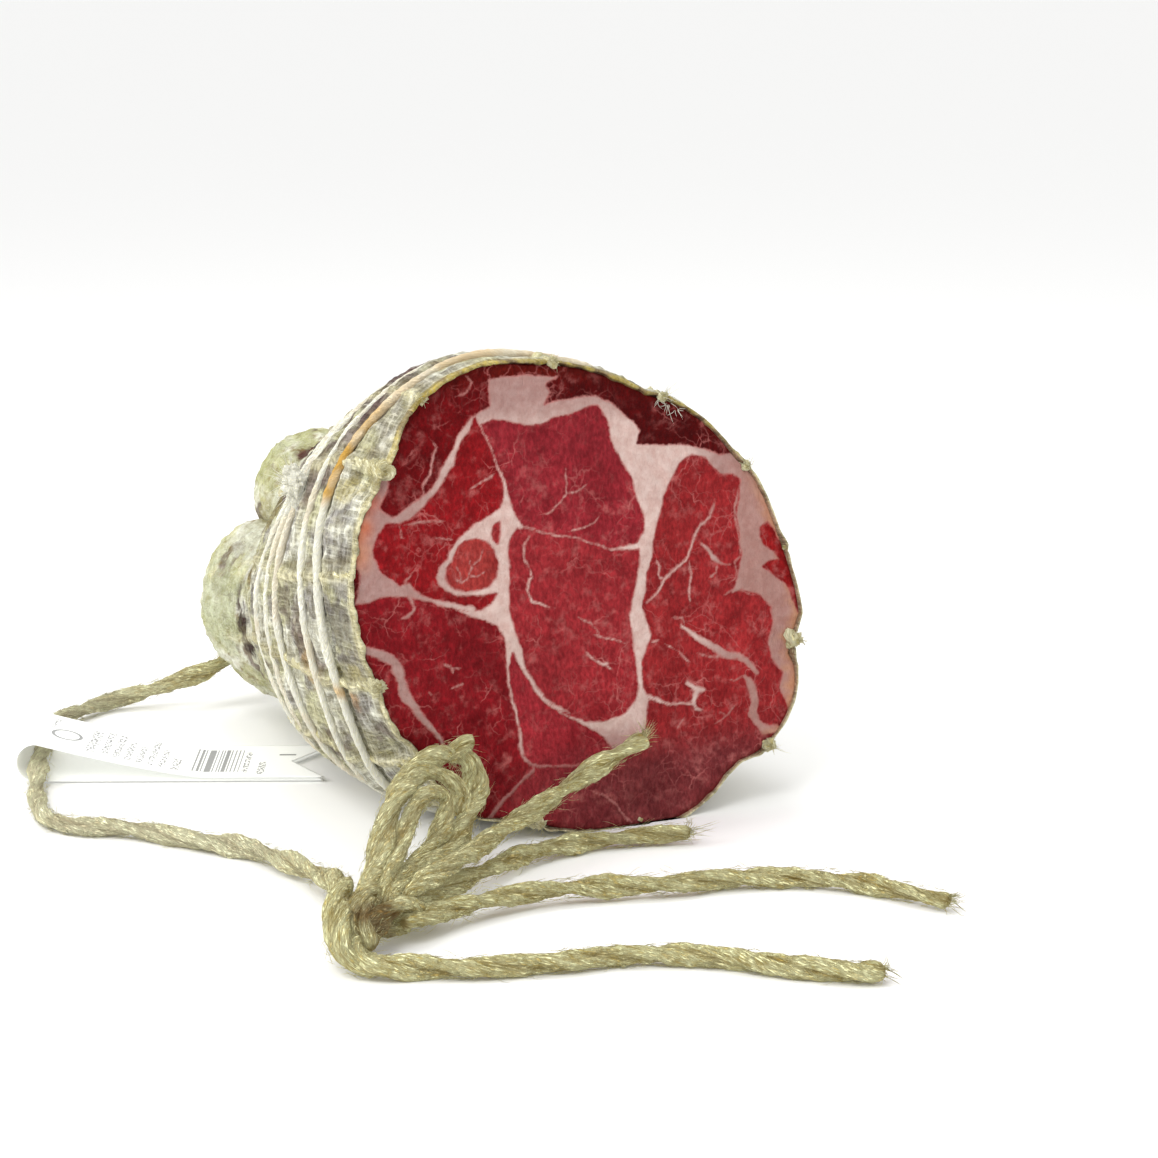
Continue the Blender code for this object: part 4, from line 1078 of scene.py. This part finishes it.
def withRim(point, row, angle):
    # the rim's rows are its foot inside the face, inner side, crest and outer side
    a = np.radians(angle)
    edge, edgeIn, _, _ = skinPoint(np.zeros(len(angle)), angle)
    edge -= edgeIn * (faceOutline(angle) - ringValue(form["faceRadii"], angle))[:, None]
    ragged = np.stack([np.cos(a) * 60.0, np.sin(a) * 60.0, row * 0.4], 1)
    wave = np.clip(0.5 + cloud(ragged, 3.5, 3, 70.0), 0.0, 1.2)
    stub = np.exp(-(angleTo(angle, form["stringAngles"]) / 2.6) ** 2)
    leftSide = smoothStep(0.2, 0.9, -np.cos(a))
    topSide = smoothStep(0.5, 0.95, np.sin(a))
    wide = cut["rimWidth"] * (0.35 + 0.55 * wave) * (0.75 + 0.75 * leftSide + 0.5 * topSide)
    proud = (0.35 + 0.6 * wave) * (0.8 + 0.6 * leftSide + 0.3 * topSide) + 0.7 * stub * wave
    edge -= edgeIn * (0.9 * stub * wave)[:, None]
    rim = ((wide + 1.0, np.full(len(angle), -3.0)), (wide, 0.1 * proud), (wide * 0.7, 0.85 * proud),
           (wide * 0.35, proud), (wide * 0.05, 0.55 * proud))
    for number, (inset, out) in enumerate(rim):
        rimPoint = edge + edgeIn * inset[:, None] + faceOut * out[:, None]
        point = np.where((row == number)[:, None], rimPoint, point)
    return point, wave


def skinPaint(point, angle, distance, tied, early, stretch, creased):
    # mould over dry skin; darker creases and lighter crests, painted shade and light over the mould's own tones;
    # then the patches
    mould = cloud(stretch, 11.0, 4, 40.0)
    lilac = cloud(stretch, 8.0, 4, 50.0)
    dark = cloud(stretch, 13.0, 4, 60.0)
    paint = np.tile(linear(224, 222, 176), (len(point), 1))
    paint = mix(paint, linear(255, 255, 240), smoothStep(-0.25, 0.25, mould))
    paint = mix(paint, linear(164, 158, 156), 0.85 * smoothStep(0.08, 0.36, lilac) * early)
    paint = mix(paint, linear(118, 92, 84), 0.8 * smoothStep(0.34, 0.5, dark))
    paint = mix(paint, paint * (0.74, 0.76, 0.62), tied * smoothStep(0.35, -0.15, cloud(stretch, 7.0, 4, 90.0)))
    specks = smoothStep(0.42, 0.6, cloud(point, 2.2, 4, 95.0))
    paint = mix(paint, linear(140, 116, 50), 0.75 * specks * smoothStep(58.0, 76.0, distance))
    # painted shade in the creases and painted light on the crests, over the mould's own olive and white
    paint = mix(paint, linear(140, 130, 92), 0.7 * smoothStep(-0.3, -0.85, creased) * early)
    paint = mix(paint, linear(254, 250, 224), 0.7 * smoothStep(0.1, 0.45, creased) * early)
    paint = mix(paint, linear(162, 150, 78), 0.6 * np.exp(-(lobes(angle)[1] / 0.2) ** 2) * tied)
    rough = cloud(point, 3.0, 4, 80.0)
    for centre, reach, strength, tint in patches:
        gap = np.linalg.norm(point - centre, axis=1) / reach + 0.55 * rough
        paint = mix(paint, linear(*tint), strength * smoothStep(1.15, 0.65, gap))
    return paint


def rimPaint(paint, row, a, wave):
    # cream lip, yellow and brown along the top, and the red brown inner side
    yellow = smoothStep(0.35, 0.9, np.sin(a))
    lip = np.tile(linear(242, 234, 184), (len(a), 1))
    lip = mix(lip, linear(208, 184, 66), np.clip(yellow * (0.4 + wave), 0.0, 1.0))
    lip = mix(lip, linear(128, 80, 34), 0.7 * smoothStep(0.62, 0.3, wave) * yellow)
    paint = mix(paint, lip, np.where(row < 7, 0.9, 0.0))
    rightSide = smoothStep(0.1, 0.5, np.cos(a)) * smoothStep(0.9, 0.6, np.sin(a))
    inner = mix(np.tile(linear(96, 44, 26), (len(a), 1)), linear(186, 132, 108), rightSide)
    return mix(paint, inner, np.where(row < 2, 0.8, 0.0))


def casingShape(u, v):
    columns, rows = casingSize["columns"], casingSize["rows"]
    angle = u * 360.0
    row = np.rint(v * rows).astype(int)
    spread = np.linspace(0.0, 13.0, 800)
    profile = [skinPoint(spread, np.full(800, turn))[0] for turn in (20.0, 120.0, 200.0)]
    steps = np.mean([np.linalg.norm(np.diff(line, axis=0), axis=1) for line in profile], axis=0)
    run = np.concatenate([[0.0], np.cumsum(steps)])
    onSkin = np.clip((row - casingSize["rimRows"]) / (rows - casingSize["rimRows"]), 0.0, 1.0)
    at = np.interp(onSkin * run[-1], run, spread)
    point, inward, distance, tied = skinPoint(at, angle)
    edgeFade = np.where(at > 9.0, 0.0, 1.0 - smoothStep(0.0, 14.0, distance))
    point -= inward * ((faceOutline(angle) - ringValue(form["faceRadii"], angle)) * edgeFade)[:, None]
    # directions off the skin, from its own neighbours
    grid = point.reshape(rows + 1, columns + 1, 3)
    along = np.gradient(grid, axis=0)
    around = np.gradient(grid, axis=1)
    normal = np.cross(along, around).reshape(-1, 3)
    normal /= np.maximum(np.linalg.norm(normal, axis=1), 1e-9)[:, None]
    normal *= np.where(np.sum(normal * -inward, axis=1) < -0.2, -1.0, 1.0)[:, None]
    early = 1.0 - np.where(at > 9.0, 1.0, tied)
    height = np.zeros(len(u))
    for wrap in wraps:
        gap = np.where(at > 9.5, 99.0, distance - ringValue(wrap, angle))
        height -= casingSize["groove"] * np.exp(-(gap / casingSize["grooveHalf"]) ** 2)
        besideTwine = np.exp(-((np.abs(gap) - 5.5) / 3.2) ** 2) - 0.4 * np.exp(-(gap / 5.0) ** 2)
        height += casingSize["bulge"] * besideTwine
    a = np.radians(angle)
    stretch = np.stack([np.cos(a) * 55.0, np.sin(a) * 55.0, distance * 0.55 + at * 3.0], 1)
    coarse = cloud(stretch, 14.0, 3, 2.0)
    fine = cloud(stretch, 4.0, 3, 6.0)
    ringed = cloud(np.stack([np.cos(a) * 14.0, np.sin(a) * 14.0, distance * 1.2], 1), 3.4, 3, 12.0)
    lengthwise = cloud(np.stack([np.cos(a) * 55.0, np.sin(a) * 55.0, distance * 0.16 + at * 3.0], 1), 2.6, 3, 14.0)
    crease = 0.35 - np.abs(ringed) - 0.7 * np.abs(lengthwise)
    height += casingSize["wrinkle"] * (1.4 * coarse + fine + 1.5 * crease)
    sway = 2.4 * np.sin(distance / 17.0 + a * 3.0)
    string = np.exp(-(angleTo(angle + sway, form["stringAngles"]) / 1.3) ** 2) * (0.75 + 0.6 * fine)
    height += casingSize["string"] * string * early
    pleat = np.sin(a * 31.0 + 3.0 * coarse) * np.sin(a * 13.0 + 1.0)
    late = np.where(at > 9.0, smoothStep(9.0, 10.5, at), 0.0)
    height += 1.2 * pleat * late * smoothStep(13.0, 11.5, at)
    height *= smoothStep(0.0, 3.0, np.where(at > 9.0, 99.0, distance)) * smoothStep(13.0, 12.6, at)
    point += normal * height[:, None]
    point, wave = withRim(point, row, angle)
    point[:, 2] = np.maximum(point[:, 2], casingSize["floorGap"])
    paint = skinPaint(point, angle, distance, tied, early, stretch, crease + 0.4 * fine)
    # painted shade along one side of each net string's ridge
    beside = angleTo(angle + sway + 2.6, form["stringAngles"])
    paint = mix(paint, linear(142, 128, 76), 0.55 * np.exp(-(beside / 1.1) ** 2) * early)
    paint = mix(paint, linear(250, 242, 196), np.clip(1.2 * string * early, 0.0, 0.8))
    paint = mix(paint, linear(250, 244, 208), 0.7 * smoothStep(4.0, 0.0, distance + 2.0 * fine) * early)
    paint = rimPaint(paint, row, a, wave)
    ring = np.stack([np.cos(a) * 57.0, np.sin(a) * 57.0, distance + at * 0.5], 1)
    return point, {"paint": paint, "skin": ring, "dry": 0.2 + 0.8 * early}


def casingMaterial():
    material, tree, surface = newMaterial("casing")
    where = node(tree, "ShaderNodeTexCoord").outputs["Object"]
    skin = attribute(tree, "skin")["Vector"]
    speck = grainOf(tree, where, 420.0, 0.35, 0.65, 5.0)
    dust = grainOf(tree, where, 1700.0, 0.35, 0.7, 4.0)
    around = grainOf(tree, stretched(tree, skin, (0.16, 0.16, 1.0)), 1.1, 0.35, 0.65, 5.0)
    along = grainOf(tree, stretched(tree, skin, (1.0, 1.0, 0.12)), 1.3, 0.35, 0.65, 5.0)
    wrinkles = maths(tree, "MULTIPLY", maths(tree, "MULTIPLY", around, along), attribute(tree, "dry")["Fac"])
    tone = attribute(tree, "paint")["Color"]
    tone = blend(tree, maths(tree, "MULTIPLY", speck, 0.5), tone, colour(190, 180, 146), "MULTIPLY")
    # painted shade: darker in the wrinkles, where the bump sinks
    tone = blend(tree, maths(tree, "MULTIPLY", wrinkles, 0.7), tone, colour(160, 148, 116), "MULTIPLY")
    cracks = veinsOf(tree, where, 130.0, 0.035, 0.004, 0.46)
    tone = blend(tree, maths(tree, "MULTIPLY", cracks, 0.5), tone, colour(120, 110, 88))
    bloom = maths(tree, "MULTIPLY", maths(tree, "MULTIPLY", dust, 0.55), tone)  # less of it on dark skin
    tone = blend(tree, bloom, tone, colour(252, 250, 234))
    tree.links.new(tone, surface.inputs["Base Color"])
    surface.inputs["Roughness"].default_value = 0.75
    surface.inputs["Specular IOR Level"].default_value = 0.2
    deep = maths(tree, "SUBTRACT", speck, maths(tree, "MULTIPLY", wrinkles, 2.5))
    bump(tree, surface, maths(tree, "ADD", maths(tree, "MULTIPLY", dust, 0.6), deep), 0.0005)
    return material


cutFace = gridSkin("cut_face", cut["cells"], cut["cells"], cutShape, cutMaterial(), back=(0.0, cut["depth"], 0.0))
casing = gridSkin("casing_skin", casingSize["columns"], casingSize["rows"], casingShape, casingMaterial())
print("scene: casing and cut face")


def wrapLine(wrap):
    angle = np.linspace(0.0, 360.0, 720, endpoint=False)
    at = placeOf(ringValue(wrap, angle))
    point, inward, _, _ = skinPoint(at, angle)
    point -= inward * twine["lift"]
    point[:, 2] = np.maximum(point[:, 2], 1.2)
    loop = np.concatenate([point, point[:1]])
    run = np.concatenate([[0.0], np.cumsum(np.linalg.norm(np.diff(loop, axis=0), axis=1))])
    places = np.linspace(0.0, run[-1], round(run[-1] / twine["step"]) + 1)
    line = np.stack([np.interp(places, run, loop[:, k]) for k in range(3)], 1)
    line[-1] = line[0]
    return line


def frontAge(share, points):
    # the wrap nearest the cut is stained where it crosses the upper left
    height = points[:, 2]
    stain = smoothStep(76.0, 82.0, height) * (0.9 - 0.45 * smoothStep(92.0, 104.0, height))
    stain = np.maximum(stain, 0.8 * np.exp(-((height - 35.7) / 1.6) ** 2))
    stain = stain * (0.6 + 0.6 * np.clip(cloud(points, 6.0, 3, 5.0) + 0.5, 0.0, 1.0))
    return {"age": np.where(points[:, 0] < 10.0, np.clip(stain, 0.0, 0.95), 0.15)}


def backAge(share, points):
    return {"age": np.clip(0.4 * cloud(points, 12.0, 3, 8.0), 0.0, 0.2)}


twineMaterial = strandMaterial("twine", colour(*twine["shadow"]), colour(*twine["clean"]), colour(*twine["clean"]),
                               0.8, 0.0003)
twines = []
for i, wrap in enumerate(wraps):
    strand = twine["strand"] if i else {**twine["strand"], "diameter": twine["frontDiameter"]}
    twines.append(pliedSkin("twine_wrap_%d" % (i + 1), wrapLine(wrap), strand, twineMaterial, closed=True,
                            values=backAge if i else frontAge))

knotPoint, knotIn, _, _ = skinPoint(placeOf(np.array([twine["knotBehind"]])), np.array([twine["knotAngle"]]))
knotCentre = knotPoint[0] - knotIn[0] * twine["knotLift"]


def lumpShape(centre, reach, shift, bumps):
    def shape(u, v):
        a, b = 2 * math.pi * u, math.pi * v
        ball = np.stack([np.cos(a) * np.sin(b), np.sin(a) * np.sin(b), np.cos(b)], 1)
        out = centre + ball * reach * (1.0 + bumps * cloud(ball, 0.45, 4, shift))[:, None]
        return out, {"fibre": ball * 3.0, "hollow": np.zeros(len(u))}
    return shape


knotLean = ((-0.9, -0.3, 0.5), (-0.6, 0.8, 0.4), (-0.5, -0.6, -0.7), (-0.7, 0.2, -0.7), (-0.5, 0.3, 0.9))
knotLumps = (((-0.4, 0.0, 0.0), (2.6, 3.4, 3.0)), ((-0.8, -2.8, 1.8), (1.9, 2.4, 1.7)),
             ((-0.4, 2.2, 2.4), (1.8, 2.4, 2.0)), ((-0.4, -1.4, -3.0), (1.7, 1.8, 2.2)))
knotParts = [gridSkin("knot_lump", 40, 24, lumpShape(knotCentre + np.array(offset), np.array(reach), 3.0 * k, 0.4),
                      twineMaterial) for k, (offset, reach) in enumerate(knotLumps)]
knotHair = hairSkin("knot_hair", fluffLines(knotCentre, twine["fluff"], twine["fluffReach"], knotLean, 0.3, 3),
                    twine["fluffRadius"], twineMaterial)
twineKnot = joined("twine_knot_fluff", knotParts + [knotHair])

# Strings of the net, dried into the casing, with their cut ends at the rim
net = {
    "ends": (0.0, 0.4, 0.5, 0.6, 0.2, 0.9, 0.0, 0.8, 0.5, 0.0, 0.3, 0.0, 0.9, 1.0),  # how thick, string by string
    "end": {"uneven": 0.7, "unevenSize": 2.2, "fibreHeight": 0.9},
    "strand": {
        "diameter": 1.7, "plies": 2, "pitch": 7.0, "plyCentre": 0.4, "plyRadius": 0.62, "around": 16,
        "unevenSize": 3.0, "uneven": 0.5, "ridges": 3, "ridgePitch": 4.0, "ridgeHeight": 0.03,
        "fibreSize": 0.6, "fibreLength": 2.0, "fibreHeight": 0.3,
    },
    "sink": 0.35,
    "reach": 74.0,
    "hairRadius": 0.08,
    "hangingRadius": 0.09,
    "hangingSpots": ((24.5, 99.4), (26.4, 98.2), (28.4, 96.8)),  # across and up the cut face
    "dark": (182, 164, 92),
    "middle": (236, 228, 176),
    "light": (252, 248, 214),
}


def netLine(angle, tuft):
    ahead = 0.8 + 1.6 * tuft
    distance = np.arange(net["reach"], -ahead, -0.7)
    turn = angle - 2.4 * np.sin(distance / 17.0 + math.radians(angle) * 3.0)
    behind = np.maximum(distance, 0.0)
    point, inward, _, _ = skinPoint(placeOf(behind), turn)
    edgeFade = 1.0 - smoothStep(0.0, 14.0, behind)
    point -= inward * ((faceOutline(turn) - ringValue(form["faceRadii"], turn)) * edgeFade)[:, None]
    front = np.maximum(-distance, 0.0)[:, None]
    point += faceOut * front - inward * (0.25 * tuft * front**1.5) + inward * net["sink"]
    point[:, 2] = np.maximum(point[:, 2], 0.9)
    return point


netMaterial = strandMaterial("net_string", colour(*net["dark"]), colour(*net["middle"]), colour(*net["light"]), 0.8,
                             0.0004)
netParts = []
for k, (angle, tuft) in enumerate(zip(form["stringAngles"], net["ends"])):
    line = netLine(angle, tuft)
    netParts.append(pliedSkin("net_string", line, {**net["strand"], "diameter": 1.6 + 0.8 * tuft}, netMaterial,
                              turn=0.7 * k))
    if tuft:
        end = smoothRoute(line[-15:], 0.6)
        thick = {**net["strand"], **net["end"], "diameter": 2.0 + 1.9 * tuft}
        netParts.append(pliedSkin("net_end", end, thick, netMaterial, turn=1.1 * k))
        lump = lumpShape(line[-2], np.array([0.9 + 0.6 * tuft, 0.7, 0.8 + 0.5 * tuft]), 5.0 * k, 0.7)
        netParts.append(gridSkin("net_lump", 24, 14, lump, netMaterial))
        out = (line[-1] - line[-4]) / np.linalg.norm(line[-1] - line[-4])
        away = line[-1] - np.array([form["faceCentre"][0], 0.0, form["faceCentre"][1]])
        away = away * (1.0, 0.0, 1.0) / np.linalg.norm(away * (1.0, 0.0, 1.0))
        lean = (out + 0.6 * away, out * 0.5 + away + (0.3, 0.0, -0.4), out - 0.5 * away, away + (-0.4, 0.0, 0.3))
        fray = fluffLines(line[-2], round(8 + 16 * tuft), (0.8, 1.8 + 1.6 * tuft), lean, 0.3, 20 + k)
        netParts.append(hairSkin("net_fray", fray, net["hairRadius"], netMaterial))
hanging = []
for k, spot in enumerate(net["hangingSpots"]):
    hanging += fluffLines(onFace(np.array([spot]))[0] + faceOut * 1.0, 7, (1.2, 3.4),
                          ((-0.5, -0.2, -1.0), (0.2, -0.3, -1.0), (0.8, -0.3, -0.2)), 0.3, 60 + k)
netParts.append(hairSkin("net_fray", hanging, net["hangingRadius"], twineMaterial))
netPiece = joined("net_strings", netParts)
print("scene: net strings")

# The paper tag: one strip folded back over itself

tag = {"corner": (-39.0, 62.0), "heading": 154.97, "width": 26.8, "length": 70.5, "thickness": 0.3, "notch": 9.0,
       "foldRadius": 4.7, "flat": 30.0, "leafGap": 0.5, "floorGap": 0.45}


def tagShape(u, v):
    half, radius, thick = tag["width"] / 2, tag["foldRadius"], tag["thickness"]
    around = np.abs(u * 2 - 1)
    side = np.where(u < 0.5, 1.0, -1.0)
    s = (around * 2 - 1) * half
    edge = np.where((around < 0.001) | (around > 0.999), 0.0, 1.0)
    bendRun = math.pi * radius
    total = 2 * tag["length"] + bendRun
    notch = tag["notch"] * (1.0 - np.abs(s) / half)
    run = notch + v * (total - 2 * notch)
    ends = np.where((v < 0.0005) | (v > 0.9995), 0.0, 1.0)
    lower = np.minimum(run, tag["length"])
    turn = np.clip(run - tag["length"], 0.0, bendRun) / radius
    upper = np.maximum(run - tag["length"] - bendRun, 0.0)
    x = lower + radius * np.sin(turn) - upper
    z = tag["floorGap"] + radius - radius * np.cos(turn)
    back = np.maximum(tag["length"] - upper, 0.0)
    rise = 2 * radius - thick
    lifted = (np.maximum(back - tag["flat"], 0.0) / (tag["length"] - tag["flat"])) ** 1.25
    top = tag["leafGap"] + (rise - tag["leafGap"]) * lifted
    z = np.where(upper > 0.0, tag["floorGap"] + top + thick, z)
    x -= np.sin(turn) * side * edge * ends * thick / 2
    z += np.cos(turn) * side * edge * ends * thick / 2
    h = math.radians(tag["heading"])
    along = np.array([math.cos(h), math.sin(h)])
    across = np.array([math.sin(h), -math.cos(h)])
    flat = np.array(tag["corner"]) + x[:, None] * along + (s + half)[:, None] * across
    return np.concatenate([flat, z[:, None]], 1), {"sheet": np.stack([s, run, side], 1)}


# generic print on the outside of the tag: from, to along the strip, from, to across, line step, kind
tagPrint = (
    (90.0, 92.0, -4.0, 3.0, 3.6, "ring"),
    (86.6, 88.0, 3.0, 10.0, 0.0, "marks"),
    (96.5, 99.0, -9.0, 8.0, 0.0, "marks"),
    (100.2, 102.0, -8.0, 9.0, 0.0, "marks"),
    (103.0, 104.8, -9.0, 8.5, 0.0, "marks"),
    (105.8, 107.6, -9.0, 5.0, 0.0, "marks"),
    (108.8, 110.4, -9.5, 3.0, 0.0, "marks"),
    (111.6, 113.2, -10.0, 9.0, 0.0, "marks"),
    (114.4, 116.0, -10.0, 4.0, 0.0, "marks"),
    (117.4, 119.4, -10.0, -1.0, 0.0, "marks"),
    (122.5, 134.0, -9.0, 9.0, 0.32, "bars"),
    (134.8, 136.2, -9.5, 7.0, 0.0, "marks"),
    (138.6, 140.4, -11.0, -1.0, 0.0, "marks"),
    (143.0, 147.2, 4.4, 5.6, 0.0, "slit"),
)


def between(tree, value, low, high):
    return maths(tree, "MULTIPLY", maths(tree, "GREATER_THAN", value, low), maths(tree, "LESS_THAN", value, high))


def tagMaterial():
    material, tree, surface = newMaterial("tag_paper")
    sheet = attribute(tree, "sheet")["Vector"]
    across, run, side = node(tree, "ShaderNodeSeparateXYZ", {0: sheet}).outputs
    ink = 0.0
    for low, high, left, right, pitch, kind in tagPrint:
        field = maths(tree, "MULTIPLY", between(tree, run, low, high), between(tree, across, left, right))
        if kind == "bars":
            cells = node(tree, "ShaderNodeTexWhiteNoise", {
                "W": maths(tree, "FLOOR", maths(tree, "DIVIDE", run, pitch), 0.0)}, noise_dimensions="1D")
            shape = maths(tree, "GREATER_THAN", cells.outputs["Value"], 0.45)
        elif kind == "ring":
            reach = node(tree, "ShaderNodeVectorMath", {0: sheet, 1: ((left + right) / 2, (low + high) / 2, 1.0)},
                         operation="DISTANCE").outputs["Value"]
            field = 1.0
            shape = between(tree, reach, pitch, pitch + 0.7)
        elif kind == "slit":
            shape = 1.0
        else:
            cells = node(tree, "ShaderNodeTexNoise", {
                "Vector": stretched(tree, sheet, (1.2, 1.9, 1.0)), "Scale": 1.0, "Detail": 1.0})
            shape = maths(tree, "GREATER_THAN", cells.outputs[0], 0.52)
        ink = maths(tree, "MAXIMUM", ink, maths(tree, "MULTIPLY", field, shape))
    ink = maths(tree, "MULTIPLY", ink, maths(tree, "LESS_THAN", side, 0.0))
    tone = blend(tree, maths(tree, "MULTIPLY", ink, 0.75), colour(240, 241, 238), colour(70, 70, 72))
    tree.links.new(tone, surface.inputs["Base Color"])
    tree.links.new(tone, surface.inputs["Emission Color"])
    surface.inputs["Emission Strength"].default_value = 0.2  # painted light: the paper gives out light that lifts its shade
    surface.inputs["Roughness"].default_value = 0.4
    surface.inputs["Specular IOR Level"].default_value = 0.3
    return material


tagStrip = gridSkin("tag_strip", 60, 260, tagShape, tagMaterial(), closed=False)
print("scene: twine and tag")


# Floor; every piece hung under one root, and the solids it replaces hidden

def addFloor():
    bm = bmesh.new()
    bmesh.ops.create_grid(bm, x_segments=1, y_segments=1, size=10.0)
    material, tree, surface = newMaterial("floor")
    surface.inputs["Base Color"].default_value = colour(*light["floor"])
    surface.inputs["Roughness"].default_value = 0.9
    return newObject("floor", bm, material)


addFloor()

slots = {"casing": [casing, netPiece], "cut_meat": [cutFace], "twine": twines + [twineKnot],
         "jute": list(ropes.values()) + [bow] + ropeHair, "tag_paper": [tagStrip]}
for slot, pieces in slots.items():
    for piece in pieces:
        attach(piece, "root")

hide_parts("coppa_body")
for i, wrap in enumerate(twines):
    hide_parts("twine_%d" % (i + 1))
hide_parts("twine_knot")
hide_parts("rope_bow")
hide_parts("tag")
for name, rope in ropes.items():
    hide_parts(name)
    line = place(ropeLines[name])
